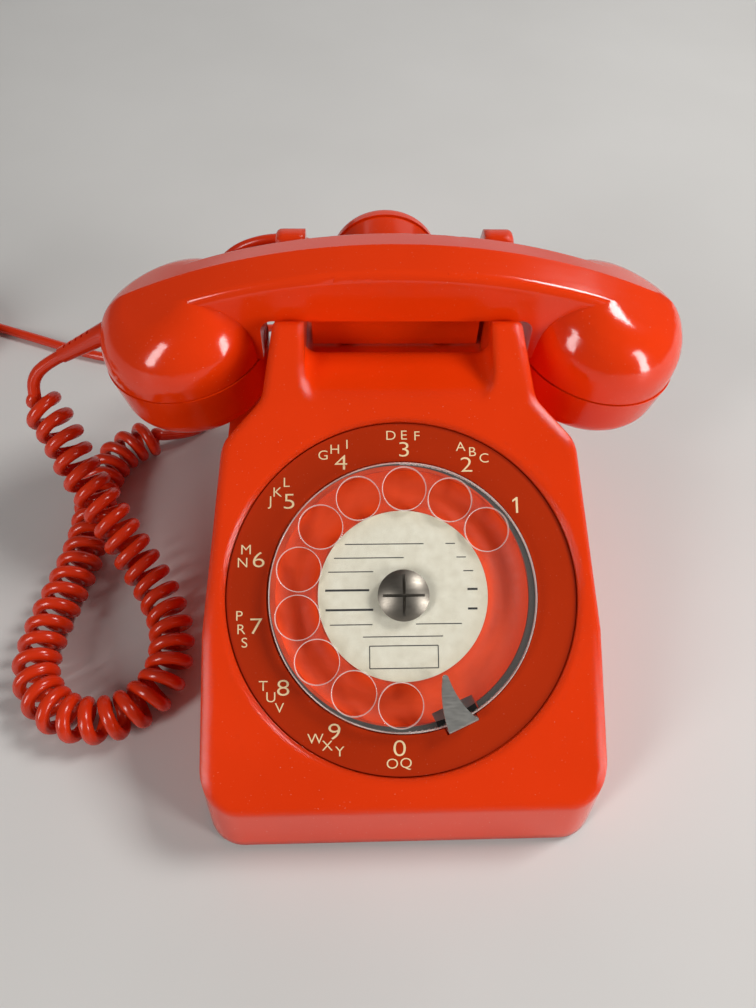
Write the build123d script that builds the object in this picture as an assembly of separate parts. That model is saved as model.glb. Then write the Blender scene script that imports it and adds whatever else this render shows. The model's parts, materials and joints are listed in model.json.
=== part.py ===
from build123d import *
import math
import os

# Driving dimensions in millimetres. +Z is up, the front faces -Y, and the origin lies on the table
# under the middle of the telephone.

# Dial and sloped face
TILT = 29.4
DIAL_Y = -48.0
DIAL_Z = 67.0
FACE_OFF = -3.0
WHEEL_R = 47.5
WHEEL_T = 2.5
HOLE_COUNT = 10
HOLE_R = 7.72
HOLE_RING_R = 38.0
FIRST_HOLE = 37.4
HOLE_STEP = 25.61
LABEL_R = 30.2
LABEL_T = 0.3
HUB_R = 29.5
SHAFT_R = 4.0
SCREW_HEAD_R = 9.1
NUMBER_RING_R = 62.8
NUMBER_RING_IN = 48.6
DISH_R = 49.6
RIM_IN = 45.6
STOP_T = 1.2
STOP_BEND = 1.0
STOP_ANGLE = -66.0
NOTCH_IN = 42.6
NOTCH_WIDTH = 16.0

# Housing
WALL = 2.8
RIM_Z = 2.5
TOP_Z = 130.0
HALF_WIDTH = 72.0
LEAN_Z = 56.0
FRONT_Y = -115.2
BACK_Y = 91.0
SIDE_DRAFT = 0.01
SIDE_LEAN = 0.175
FRONT_DRAFT = 0.154
CORNER_R = 14.0
DECK_Z = 50.0
TOWER_HALF = 46.8
CRADLE_HALF = 35.2
SHELF_Z = 100.0
SHELF_START = 13.5
SHELF_LEVEL = 20.4
SHELF_SIDE_R = 5.0
TROUGH_Z = 91.0
SADDLE_Z = 110.6
HORN_Y = 42.5
REAR_HORN_Z = 124.8
EDGE_R = 2.5
PLATE_Z = 3.0
PLATE_T = 2.0
FOOT_R = 7.0
GROMMET_Z = 9.0

BOSS_PLACES = [(-61, -90), (61, -90), (-58, 77), (58, 77)]
FOOT_PLACES = [(-54, -98), (54, -98), (-45, 76), (45, 76)]
DIAL_SCREW_R = 53.5
DIAL_SCREW_ANGLES = (30, 150, 270)
HOOK_STEM_X = (-20, 20)
HOOK_TRAVEL = 6.0
GROMMETS = {"handset": (-56, 3.6), "line": (-36, 3.9), "earpiece": (22, 3.5)}
GROMMET_END = 97.0
BOARD_Z = 9.0
BOARD_TOP = 10.6
BOARD_PIPS = [(-44, -46), (44, -46), (-44, 2), (44, 2)]
TERMINALS = (-36, -22, -8, 8, 22, 36)
GONG_X = 29.0
GONG_Y = 33.0
GONG_R = 24.0
CLAPPER_Y = 57.5
ARMATURE_HALF = 16.0
LEVER_Y = 80.0
LEVER_Z = 74.2

# Handset
GRIP_Y = 58.6
RIDGE_Z = 135.6
RIDGE_R = 250.0
ROOF_SLOPE = 0.28
ARCH_HALF = 35.0
GRIP_HALF = 13.2
GRIP_BOTTOM = 111.0
EAVE_R = 4.0
CUP_X = 84.2
CUP_Z = 86.0
CUP_R = 33.0
CUP_TILT = 7.0
SHOULDER_R = 24.0
CAP_R = 32.4
CAP_BOTTOM = -23.0
CAP_WALL = 2.6
SEAM_LIP = 0.5
MOUTH_SEAM = 2.2
EAR_SEAM = 0.0
MOUTH_HOLES = ((0, 1), (6, 6), (12, 12))
EAR_HOLES = ((0, 1), (6.5, 6))
BOOT_LENGTH = 24.0
BOOT_ROOT = (-116.0, 93.9)
BOOT_DOWN = 30.0

# Second earpiece on the back
EAR_X = -2.5
EAR_Z = 91.6
EAR_R = 24.0
EAR_FRONT = 93.0
EAR_BACK = 115.2
STUD_Z = 98.6

# Gear train
MODULE_1 = 0.8
MAIN_TEETH = 60
PINION_TEETH = 12
MODULE_2 = 0.6
PULSE_TEETH = 48
GEAR_PLAY = 0.12
PULSE_AT = (0, MODULE_1 * (MAIN_TEETH + PINION_TEETH) / 2 + GEAR_PLAY)
GOVERNOR_AT = (MODULE_2 * (PULSE_TEETH + PINION_TEETH) / 2 + GEAR_PLAY, PULSE_AT[1])
BRIDGE_POSTS = (160, 215, 320)

# Cords
CURL_WIRE = 5.2
CURL_OUTER = 18.8
CURL_PITCH = 7.9
LINE_WIRE = 5.0
EAR_WIRE = 4.2
COIL_STEP = 0.5
COIL_LOW = 1.5
PLUG_DROPS = [(0, 0), (12, 2.5), (24, 7.5), (34, 11.3), (42, 12.5)]
CURL_START = 26.0
CURL_TAIL = 92.0
LINE_COIL = {"turns": 9.31, "layers": 4, "outer": 34.0, "hand": 1}
EAR_COIL = {"turns": 2.25, "layers": 2, "outer": 24.7, "hand": -1}

# Routes of the cords, from the boot or grommet outwards
HANDSET_ROUTE = [
    (-136.85, 58.6, 81.86), (-145.44, 58.6, 76.9), (-152.5, 56.5, 70.5), (-153, 52.5, 63),
    (-147, 47, 58), (-141, 39, 53), (-136, 30, 46.5), (-128.5, 20.5, 38.5), (-120, 9.5, 30),
    (-110, -3, 19), (-101, -15, 12),
    (-92.6, -33, 9.9), (-93.5, -55.3, 9.9), (-110, -70.4, 9.9), (-132.3, -69.5, 9.9),
    (-147.4, -53, 9.9), (-146.5, -30.7, 9.9), (-141, -8, 9.9), (-137, 14, 9.9), (-138, 36, 9.9),
    (-137, 56, 9.9), (-128.5, 70, 10), (-116, 77.5, 10), (-104, 81, 6.6), (-94.5, 88.5, 3.2),
    (-88.5, 101, 2.9), (-83, 113.5, 2.9), (-72, 119.5, 3.2), (-61, 115.5, 5), (-56, 105, 8), (-56, 97, 9),
]
LINE_ROUTE = [
    (-36, 97, 9), (-37, 117, 6.5), (-50, 135, 3), (-74, 143, 2.6), (-108, 140, 2.6), (-140, 138.5, 2.6),
    (-165, 144.6, 2.6), (-195, 157, 2.6), (-222, 167.2, 3), (-245, 177, 4),
]
EAR_ROUTE = [
    (-31.4, 100, 105.14), (-40.5, 100, 109), (-54, 99.5, 109), (-67, 100, 103.5), (-76, 102, 92),
    (-81, 106.5, 76), (-83, 115, 58), (-81, 128, 40), (-75, 142, 24), (-65, 155, 12), (-50, 165, 5),
    (-30, 170.5, 3.6), (-10, 171.2, 3.6),
]
EAR_END_ROUTE = [(23.9, 124, 7), (22.3, 110, 8), (22, 97, 9)]

SIN = math.sin(math.radians(TILT))
COS = math.cos(math.radians(TILT))
BASE = (Align.CENTER, Align.CENTER, Align.MIN)


# Small helpers
def dial_plane(off=0.0):
    """Plane across the dial axis, off millimetres in front of the middle of the finger wheel."""
    origin = (0, DIAL_Y - off * SIN, DIAL_Z + off * COS)
    return Plane(origin=origin, x_dir=(1, 0, 0), z_dir=(0, -SIN, COS))


def dial_disc(radius, low, high, at=(0, 0)):
    """Disc across the dial axis between two offsets."""
    return dial_plane(low) * Pos(*at, 0) * Cylinder(radius, high - low, align=BASE)


def dial_turned(profile):
    """Turn a (radius, offset) profile about the dial axis."""
    return dial_plane() * revolve(Plane.XZ * profile, axis=Axis.Z)


def polar(radius, degrees):
    """Point on a circle."""
    return radius * math.cos(math.radians(degrees)), radius * math.sin(math.radians(degrees))


def face_z(y, off=FACE_OFF):
    """Height of the sloped face, or of a plane parallel to it, at a depth y."""
    along = (y - DIAL_Y + off * SIN) / COS
    return DIAL_Z + along * SIN + off * COS


def face_gap(point):
    """Distance of a point from the sloped face."""
    return (point.Z - DIAL_Z) * COS - (point.Y - DIAL_Y) * SIN - FACE_OFF


def outline(*corners):
    """Closed face from (u, v, corner radius) triples."""
    points = [corner[:2] for corner in corners]
    radii = [corner[2] for corner in corners]
    return make_face(FilletPolyline(*points, radius=radii, close=True))


def side_prism(half, *corners):
    """Prism along X from an outline in depth and height."""
    return extrude(Plane.YZ * outline(*corners), amount=half, both=True)


def upright(radius, low, high, x=0.0, y=0.0):
    """Upright round bar."""
    return Pos(x, y, low) * Cylinder(radius, high - low, align=BASE)


def block(x, y, z):
    """Box from three (low, high) pairs."""
    middle = Pos((x[0] + x[1]) / 2, (y[0] + y[1]) / 2, (z[0] + z[1]) / 2)
    return middle * Box(x[1] - x[0], y[1] - y[0], z[1] - z[0])


def bar_between(start, end, radius, end_radius=None):
    """Round bar, or cone, from one point to another."""
    direction = Vector(*end) - Vector(*start)
    plane = Plane(origin=start, z_dir=direction)
    if end_radius is None:
        return plane * Cylinder(radius, direction.length, align=BASE)
    return plane * Cone(radius, end_radius, direction.length, align=BASE)


def group(parts):
    """Separate solids kept in one node."""
    return Compound(children=[solid for part in parts for solid in part.solids()])


def nearest_edges(part, points):
    """The edges whose middles lie nearest to the given points."""
    return [min(part.edges(), key=lambda edge: (edge @ 0.5 - Vector(*point)).length) for point in points]


# Housing
def plan_section(z, inset):
    """Rounded rectangle of the drafted body at a height."""
    rise = z - RIM_Z
    half = HALF_WIDTH - rise * SIDE_DRAFT - max(z - LEAN_Z, 0) * SIDE_LEAN - inset
    front = FRONT_Y + rise * FRONT_DRAFT + inset
    back = BACK_Y - inset
    return Pos(0, (front + back) / 2, z) * RectangleRounded(2 * half, back - front, CORNER_R - inset)


def neck_cut(side, inset):
    """Room beside the tower for a handset cup, cut down to the deck."""
    plan = outline(
        (side * 80, -11.2 - 1.41 * inset, 0),
        (side * (50.8 - inset), 18 - 0.41 * inset, 9),
        (side * (TOWER_HALF - inset), 44, 30),
        (side * (TOWER_HALF - inset), 110, 0),
        (side * 80, 110, 0),
    )
    return Pos(0, 0, DECK_Z - inset) * extrude(plan, amount=TOP_Z)


def outer_form():
    """Closed outer shape of the housing, before the cradle and the dial are cut into it."""
    body = loft([plan_section(z, 0) for z in (RIM_Z, LEAN_Z, TOP_Z)], ruled=True)
    body &= side_prism(
        90,
        (-140, RIM_Z, 0),
        (-140, face_z(-140), 0),
        (HORN_Y, face_z(HORN_Y), 3),
        (45, SADDLE_Z, 2.5),
        (73.8, SADDLE_Z, 4),
        (76.8, REAR_HORN_Z, 4),
        (85.5, REAR_HORN_Z, 5),
        (91, 112, 6),
        (91, RIM_Z, 0),
    )
    for side in (-1, 1):
        body -= neck_cut(side, 0)
    shoulders = nearest_edges(body, [(side * 66.0, 2.8, 72.0) for side in (-1, 1)])
    body = fillet(shoulders, 9)
    front = [edge for edge in body.edges() if abs(face_gap(edge @ 0.5)) < 0.02 and (edge @ 0.5).Y < 36]
    return fillet(front, EDGE_R)


def inner_form():
    """Hollow of the housing, left solid round the dial seat and under the cradle."""
    hollow = loft([plan_section(z, WALL) for z in (RIM_Z - 1, LEAN_Z, TOP_Z)], ruled=True)
    hollow &= side_prism(
        90,
        (-140, RIM_Z - 1, 0),
        (-140, face_z(-140, FACE_OFF - WALL), 0),
        (12, face_z(12, FACE_OFF - WALL), 2),
        (39, SHELF_Z - WALL, 2),
        (42, TROUGH_Z - WALL, 2),
        (BACK_Y, TROUGH_Z - WALL, 0),
        (BACK_Y, RIM_Z - 1, 0),
    )
    for side in (-1, 1):
        hollow -= neck_cut(side, WALL)
    return hollow - dial_disc(66, -9.8, 20)


def shelf_room():
    """Room over the shelf, with a floor that rounds out of the sloped face and up its side walls."""
    start = (SHELF_START, face_z(SHELF_START) + 0.02)
    level = (SHELF_LEVEL, SHELF_Z)
    run = level[0] - start[0]
    rise = level[1] - start[1]
    radius = (run ** 2 + rise ** 2) / (2 * rise)
    half_turn = math.asin(run / radius) / 2
    middle = (level[0] - radius * math.sin(half_turn), level[1] - radius * (1 - math.cos(half_turn)))
    edge = ThreePointArc(start, middle, level)
    edge += Polyline(level, (46, SHELF_Z), (46, 140), (SHELF_START, 140), start)
    room = extrude(Plane.YZ * make_face(edge), amount=CRADLE_HALF, both=True)
    places = [(side * CRADLE_HALF, y, z) for side in (-1, 1) for y, z in ((33, SHELF_Z), middle)]
    return fillet(nearest_edges(room, places), SHELF_SIDE_R)


def cradle_room():
    """Everything cut out between the horns: the shelf and the trough under the grip."""
    trough = side_prism(
        CRADLE_HALF,
        (40.5, 140, 0),
        (40.5, SHELF_Z, 0),
        (43.5, TROUGH_Z, 2),
        (72, TROUGH_Z, 2),
        (75.5, 107, 3),
        (100, 107, 0),
        (100, 140, 0),
    )
    return trough + shelf_room()


def housing():
    """Moulded shell with its cradle, dial seat and screw bosses."""
    solid = outer_form() - cradle_room()
    shell = solid - inner_form()
    bosses = [upright(4.5, PLATE_Z + PLATE_T, DECK_Z + 10, x, y) for x, y in BOSS_PLACES]
    for boss in bosses:
        shell += boss & solid
    for x, y in BOSS_PLACES:
        shell -= upright(1.5, 0, 18, x, y)
    shell -= dial_disc(63.3, -7.5, 20)
    shell -= dial_disc(50.0, -20, 20)
    for angle in DIAL_SCREW_ANGLES:
        shell -= dial_disc(1.5, -12, -8.3, polar(DIAL_SCREW_R, angle))
    for x in HOOK_STEM_X:
        shell -= upright(3.5, TROUGH_Z - 10, TROUGH_Z + 10, x, GRIP_Y)
    for x, size in GROMMETS.values():
        shell -= Pos(x, BACK_Y - 10, GROMMET_Z) * Rot(-90, 0, 0) * Cylinder(size, 20, align=BASE)
    return shell


def base_plate():
    """Pressed tray that closes the underside, with pips that carry the circuit board."""
    plate = extrude(plan_section(PLATE_Z, WALL + 0.5), amount=PLATE_T)
    for x, y in BOARD_PIPS:
        plate += upright(3.5, PLATE_Z + PLATE_T, BOARD_Z, x, y)
    for x, y in BOSS_PLACES:
        plate -= upright(1.7, 0, 10, x, y)
    return plate


def rubber_feet():
    """Four feet with softened lower edges."""
    feet = []
    for x, y in FOOT_PLACES:
        foot = upright(FOOT_R, 0, PLATE_Z, x, y)
        feet.append(fillet(foot.edges().group_by(Axis.Z)[0], 1))
    return group(feet)


def screw(plane, head_r, head_h, shank_r, shank_l):
    """Slotted screw, its head above the plane and its shank below it."""
    body = Cylinder(head_r, head_h, align=BASE)
    body += Pos(0, 0, -shank_l) * Cylinder(shank_r, shank_l, align=BASE)
    body -= Pos(0, 0, head_h) * Box(2 * head_r, head_r * 0.35, head_h)
    return plane * body


def housing_screws():
    """Screws from below, through the tray into the bosses."""
    planes = [Plane(origin=(x, y, PLATE_Z), z_dir=(0, 0, -1)) for x, y in BOSS_PLACES]
    return group([screw(plane, 3.2, 1.8, 1.45, 14) for plane in planes])


def cord_grommets():
    """Three tapered strain reliefs low on the back wall."""
    pieces = []
    for x, size in GROMMETS.values():
        out = Plane(origin=(x, BACK_Y, GROMMET_Z), z_dir=(0, 1, 0))
        piece = out * Cylinder(size + 2, 1.5, align=BASE)
        piece += Plane(origin=(x, BACK_Y - 5, GROMMET_Z), z_dir=(0, 1, 0)) * Cylinder(size, 5, align=BASE)
        nose = GROMMET_END - BACK_Y
        piece += out * Cone(size + 0.6, size - 0.6, nose, align=BASE)
        pieces.append(piece)
    return group(pieces)


# Dial
def stop_place(along, across, low, high):
    """Box at the finger stop, along its radius and across it, between two offsets."""
    x, y = polar((along[0] + along[1]) / 2, STOP_ANGLE)
    size = Box(along[1] - along[0], across, high - low, align=BASE)
    return dial_plane(low) * Pos(x, y, 0) * Rot(0, 0, STOP_ANGLE) * size


def number_ring():
    """Ring that carries the numbers, dished slightly towards its outer edge."""
    profile = make_face(Polyline(
        (50.4, -7.5), (NUMBER_RING_R, -7.5), (NUMBER_RING_R, -4.0), (NUMBER_RING_IN, -2.9),
        (NUMBER_RING_IN, -4.9), (50.4, -4.9), close=True,
    ))
    return dial_turned(profile) - stop_place((46, 50.8), 12.4, -10, 5)


def dial_dish():
    """Fixed dish under the finger wheel, with a round trough and a notch for the finger stop."""
    edge = Polyline((RIM_IN, -5.2), (DISH_R, -5.2), (DISH_R, -11.4), (9, -11.4), (9, -5.2), (31, -5.2))
    trough = ThreePointArc((31, -5.2), ((31 + RIM_IN) / 2, -9.8), (RIM_IN, -5.2))
    return dial_turned(make_face(edge + trough)) - stop_place((NOTCH_IN, 51), NOTCH_WIDTH, -12, 5)


def dial_rim():
    """Dark metal rim in the gap round the finger wheel."""
    rim = dial_disc(47.8, -5.2, -3.8) - dial_disc(RIM_IN, -6, -3)
    return rim - stop_place((NOTCH_IN, 51), NOTCH_WIDTH, -6, -3)


def finger_stop():
    """Claw that reaches over the wheel from a leg beside it."""
    leg_out = 49.5
    tip_left, tip, tip_right = (12.9, -28.5), (13.8, -27.5), (14.9, -28.2)
    corner_x, corner_y = polar(leg_out, STOP_ANGLE)
    side_x, side_y = polar(5.6, STOP_ANGLE + 90)
    right_corner = (corner_x + side_x, corner_y + side_y)
    left_corner = (corner_x - side_x, corner_y - side_y)
    edge = ThreePointArc(right_corner, (19.2, -36.6), tip_right)
    edge += ThreePointArc(tip_right, tip, tip_left)
    edge += ThreePointArc(tip_left, (12.7, -37.5), left_corner)
    edge += Line(left_corner, right_corner)
    claw = dial_plane(2.4) * extrude(make_face(edge), amount=STOP_T)
    claw += stop_place((leg_out - STOP_T, leg_out), 11.2, -11.4, 2.4 + STOP_T)
    bend = (dial_plane(2.4 + STOP_T) * Pos(corner_x, corner_y, 0)).position
    return fillet(nearest_edges(claw, [bend]), STOP_BEND)


def finger_wheel():
    """Clear wheel with ten finger holes."""
    wheel = dial_disc(WHEEL_R, -WHEEL_T / 2, WHEEL_T / 2) - dial_disc(2.6, -5, 5)
    for number in range(HOLE_COUNT):
        place = polar(HOLE_RING_R, FIRST_HOLE + number * HOLE_STEP)
        wheel -= dial_disc(HOLE_R, -5, 5, place)
    rims = [edge for edge in wheel.edges() if edge.geom_type == GeomType.CIRCLE and edge.radius > 5]
    return fillet(rims, 0.6)


def label_card():
    """Printed card under the middle of the wheel."""
    return dial_disc(LABEL_R, -WHEEL_T / 2 - LABEL_T, -WHEEL_T / 2) - dial_disc(2.6, -5, 5)


def center_screw():
    """Domed screw with a cross slot."""
    top = WHEEL_T / 2
    dome = ThreePointArc((0, top + 3.6), (5.2, top + 2.6), (SCREW_HEAD_R, top + 0.5))
    rim = SCREW_HEAD_R
    edge = Polyline((rim, top + 0.5), (rim, top), (2.4, top), (2.4, -11), (0, -11), (0, top + 3.6))
    head = dial_turned(make_face(dome + edge))
    for turn in (0, 90):
        slot = Rot(0, 0, turn) * Box(16.4, 1.0, 3.4, align=BASE)
        head -= dial_plane(top + 1.6) * slot
    return head


def main_shaft():
    """Hub and shaft that carry the wheel."""
    shaft = dial_disc(HUB_R, -3.1, -WHEEL_T / 2 - LABEL_T) + dial_disc(SHAFT_R, -37, -3.1)
    return shaft - dial_disc(2.5, -12, 0)


def gear(teeth, module, low, high, at, turn, bore):
    """Spur gear with straight flanks and room to run, across the dial axis."""
    root = module * (teeth / 2 - 1.15)
    tip = module * (teeth / 2 + 0.7)
    pitch = 360 / teeth
    points = []
    for tooth in range(teeth):
        middle = turn + tooth * pitch
        points.append(polar(root, middle - 0.28 * pitch))
        points.append(polar(tip, middle - 0.10 * pitch))
        points.append(polar(tip, middle + 0.10 * pitch))
        points.append(polar(root, middle + 0.28 * pitch))
    blank = extrude(make_face(Polyline(*points, close=True)), amount=high - low)
    blank -= Cylinder(bore, 50)
    return dial_plane(low) * Pos(*at, 0) * blank


def main_gear():
    """Gear on the main shaft, with a tooth facing the pulse pinion."""
    return gear(MAIN_TEETH, MODULE_1, -20, -18, (0, 0), 90, SHAFT_R)


def pulse_gear():
    """Pulse shaft with its pinion and the gear that drives the governor."""
    shaft = dial_disc(2.0, -36.4, -11.6, PULSE_AT)
    pinion = gear(PINION_TEETH, MODULE_1, -20.3, -17.7, PULSE_AT, 360 / PINION_TEETH / 2 - 90, 1.9)
    wheel = gear(PULSE_TEETH, MODULE_2, -24, -22.5, PULSE_AT, 0, 1.9)
    return shaft + pinion + wheel


def impulse_cam():
    """Two-lobed cam that parts the contacts."""
    cam = Cylinder(4.2, 3, align=BASE) + Box(10.4, 3.4, 3, align=BASE) - Cylinder(2.0, 20)
    return dial_plane(-29.5) * Pos(*PULSE_AT, 0) * cam


def impulse_contacts():
    """Leaf springs on their insulating block."""
    x, y = PULSE_AT
    pieces = dial_plane(-31) * Pos(x - 21, y + 2, 0) * Box(8, 9, 6, align=BASE)
    for rise in (0.4, 3.6):
        pieces += dial_plane(-29.6) * Pos(x - 12, y + rise, 0) * Box(11.6, 0.5, 3.2, align=BASE)
    return pieces + dial_plane(-35) * Pos(x - 21, y + 2, 0) * Box(6, 6, 4, align=BASE)


def governor_shaft():
    """Governor pinion and shaft."""
    pinion = gear(PINION_TEETH, MODULE_2, -24.3, -22.2, GOVERNOR_AT, 180 + 360 / PINION_TEETH / 2, 1.4)
    return dial_disc(1.5, -36.4, -11.6, GOVERNOR_AT) + pinion


def governor_weights():
    """Cross bar with a weight at each end, which swings out to brake on the cup."""
    bar = Box(15, 3, 2, align=BASE) - Cylinder(1.5, 20)
    for x in (-7, 7):
        bar += Pos(x, 0, 0) * Cylinder(2.4, 3, align=BASE)
    return dial_plane(-30) * Pos(*GOVERNOR_AT, 0) * bar


def governor_cup():
    """Brake cup round the weights, carried on the bridge."""
    cup = dial_disc(12, -32, -26.5, GOVERNOR_AT) - dial_disc(10.5, -31, -20, GOVERNOR_AT)
    cup += dial_disc(5, -35, -32, GOVERNOR_AT)
    return cup - dial_disc(2.2, -50, 0, GOVERNOR_AT)


def dial_frame():
    """Front plate of the mechanism, with three ears under the dial seat."""
    plate = dial_disc(47, -13.0, -11.4)
    for angle in DIAL_SCREW_ANGLES:
        plate += dial_plane(-13.0) * Rot(0, 0, angle) * Pos(48, 0, 0) * Box(11, 11, 1.6, align=BASE)
        plate += dial_disc(3.6, -13.0, -9.8, polar(DIAL_SCREW_R, angle))
    for angle in DIAL_SCREW_ANGLES:
        plate -= dial_disc(1.6, -20, 0, polar(DIAL_SCREW_R, angle))
    return plate - shaft_bores()


def shaft_bores():
    """Running bores for the three shafts."""
    play = 0.06
    bores = dial_disc(SHAFT_R + play, -50, 0)
    bores += dial_disc(2.0 + play, -50, 0, PULSE_AT)
    return bores + dial_disc(1.5 + play, -50, 0, GOVERNOR_AT)


def gear_bridge():
    """Rear plate of the mechanism on its three posts."""
    plate = dial_disc(41, -36.5, -35)
    for angle in BRIDGE_POSTS:
        plate += dial_disc(2.5, -35, -13.0, polar(36, angle))
    return plate - shaft_bores()


def dial_screws():
    """Screws from behind, through the ears into the housing."""
    places = [polar(DIAL_SCREW_R, angle) for angle in DIAL_SCREW_ANGLES]
    back = dial_plane(-13.0)
    screws = []
    for place in places:
        flipped = back * Pos(*place, 0) * Rot(180, 0, 0)
        screws.append(screw(Plane(flipped), 3, 2, 1.4, 4.4))
    return group(screws)


def return_spring():
    """Flat spiral spring round the main shaft."""
    turns, inner, outer, leaf = 3.5, 5.4, 14.8, 0.6
    steps = int(turns * 12)
    low_side = []
    high_side = []
    for step in range(steps + 1):
        radius = inner + (outer - inner) * step / steps
        low_side.append(polar(radius, 30 * step))
        high_side.append(polar(radius + leaf, 30 * step))
    leaf_face = make_face(Polyline(*low_side, *reversed(high_side), close=True))
    return dial_plane(-31) * extrude(leaf_face, amount=5)


# Handset
def cup_place(side):
    """Place of a cup, whose axis leans so that its cap faces inwards; its own zero is near the seam."""
    return Pos(side * CUP_X, GRIP_Y, CUP_Z) * Rot(0, side * CUP_TILT, 0)


def roof_form():
    """Arched roof with a ridge, deep enough to bound the whole handset."""
    half = CUP_R + 8
    eave = RIDGE_Z - half * ROOF_SLOPE
    low = RIDGE_Z - 90
    edge = Polyline(
        (GRIP_Y - half, eave), (GRIP_Y, RIDGE_Z), (GRIP_Y + half, eave),
        (GRIP_Y + half, low), (GRIP_Y - half, low), close=True,
    )
    arch = Axis((0, 0, RIDGE_Z - RIDGE_R), (0, 1, 0))
    swept = revolve(Plane.YZ * make_face(edge), axis=arch, revolution_arc=2 * ARCH_HALF)
    return swept.rotate(arch, -ARCH_HALF)


def cup_form(side, seam):
    """Leaning cup with a wide round shoulder under the roof."""
    wall = outline((0, CAP_BOTTOM, 0), (CUP_R - 0.3, CAP_BOTTOM, 0), (CUP_R + 0.8, 60, 0), (0, 60, 0))
    cup = cup_place(side) * revolve(Plane.XZ * wall, axis=Axis.Z) & roof_form()
    rim = [edge for edge in cup.edges() if edge.geom_type == GeomType.BSPLINE]
    return fillet(rim, SHOULDER_R) - cup_place(side) * upright(CUP_R + 5, CAP_BOTTOM - 5, seam)


def grip_form():
    """Bar between the cups with rounded eaves, over the gap for the fingers."""
    sides = (GRIP_Y - GRIP_HALF, GRIP_Y + GRIP_HALF)
    bar = block((-CUP_X, CUP_X), sides, (CUP_Z + 6, RIDGE_Z)) & roof_form()
    eaves = nearest_edges(bar, [(0, y, RIDGE_Z - GRIP_HALF * ROOF_SLOPE) for y in sides])
    bar = fillet(eaves, EAVE_R)
    end = CUP_X - CUP_R + 1
    gap = outline((-end, 60, 0), (-end, GRIP_BOTTOM, 5), (end, GRIP_BOTTOM, 5), (end, 60, 0))
    return bar - extrude(Plane.XZ * gap, amount=-120)


def handset_shell():
    """Grip and cups, hollow for the capsules and the wires."""
    shell = grip_form()
    for side, seam in ((-1, MOUTH_SEAM), (1, EAR_SEAM)):
        shell += cup_form(side, seam)
    for side in (-1, 1):
        shell -= cup_place(side) * upright(CAP_R - 3.4, -10, 10)
        shell -= upright(4, 90, 117, side * 70, GRIP_Y)
    return shell - Pos(0, GRIP_Y, 117) * Rot(0, 90, 0) * Cylinder(4, 140)


def handset_cap(side, seam, rings):
    """Screw cap of one cup, pierced by rings of sound holes."""
    top = seam - 0.4
    floor = CAP_BOTTOM + CAP_WALL
    collar = CAP_R - 3.9
    inside = collar - 1.7
    edge = outline(
        (0, CAP_BOTTOM, 0), (CAP_R - 1.2, CAP_BOTTOM, 11), (CUP_R + SEAM_LIP, top, 0), (collar, top, 0),
        (collar, seam + 5, 0), (inside, seam + 5, 0), (inside, floor, 7), (0, floor, 0),
    )
    cap = revolve(Plane.XZ * edge, axis=Axis.Z)
    for radius, count in rings:
        for number in range(count):
            place = polar(radius, 360 / count * number)
            cap -= Pos(*place, CAP_BOTTOM - 1) * Cylinder(1.3, 6, align=BASE)
    return cup_place(side) * cap


def capsule(radius, low, high, place):
    """Round capsule with a raised contact on its back."""
    body = upright(radius, low, high) + upright(radius * 0.45, high, high + 3)
    rim = [edge for edge in body.edges() if edge.geom_type == GeomType.CIRCLE and edge.radius > radius - 0.1]
    return place * fillet(rim, 1.0)


def boot_ends():
    """Root and tip of the handset's cord boot on the end of the left cup."""
    turn = math.radians(BOOT_DOWN)
    root = Vector(BOOT_ROOT[0], GRIP_Y, BOOT_ROOT[1])
    way = Vector(-math.cos(turn), 0, -math.sin(turn))
    return root, root + way * BOOT_LENGTH, way


def handset_boot():
    """Tapered boot with short slits above and below that let it bend."""
    root, tip, way = boot_ends()
    boot = bar_between(root - way * 5, tip, 4.6, 3.2)
    boot -= cup_form(-1, MOUTH_SEAM)
    for number in range(5):
        middle = root + way * (6 + 3.4 * number)
        for side in (-1, 1):
            across = Plane(origin=middle, x_dir=(0, 1, 0), z_dir=way)
            boot -= across * Pos(0, side * 4.1, 0) * Box(2.2, 3, 1.1)
    return boot


# Second earpiece
def ear_turned(profile):
    """Turn a (radius, depth) profile about the earpiece's axis."""
    return Pos(EAR_X, 0, EAR_Z) * revolve(profile, axis=Axis.Y)


def earpiece_hook():
    """Plate on the back wall with a headed stud."""
    back = Plane(origin=(EAR_X, BACK_Y, STUD_Z - 6), x_dir=(1, 0, 0), z_dir=(0, 1, 0))
    plate = back * extrude(RectangleRounded(17, 21, 3), amount=1.4)
    neck = bar_between((EAR_X, BACK_Y, STUD_Z), (EAR_X, 95.8, STUD_Z), 2.4)
    return plate + neck + bar_between((EAR_X, 95.8, STUD_Z), (EAR_X, 98, STUD_Z), 4.4)


def earpiece_shell():
    """Round case with a slot, open below, that drops over the stud."""
    edge = outline((0, EAR_FRONT, 0), (EAR_R - 1.5, EAR_FRONT, 4), (EAR_R - 0.8, 107, 0), (0, 107, 0))
    case = ear_turned(edge)
    neck_half, head_half = 2.9, 5.0
    lower = EAR_Z - EAR_R - 5
    case -= block((EAR_X - neck_half, EAR_X + neck_half), (90, 99), (lower, STUD_Z))
    case -= bar_between((EAR_X, 90, STUD_Z), (EAR_X, 95.3, STUD_Z), neck_half)
    case -= block((EAR_X - head_half, EAR_X + head_half), (95.3, 98.6), (lower, STUD_Z))
    case -= bar_between((EAR_X, 95.3, STUD_Z), (EAR_X, 98.6, STUD_Z), head_half)
    return case - bar_between((EAR_X, 100.4, EAR_Z), (EAR_X, 110, EAR_Z), 20.6)


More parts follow.
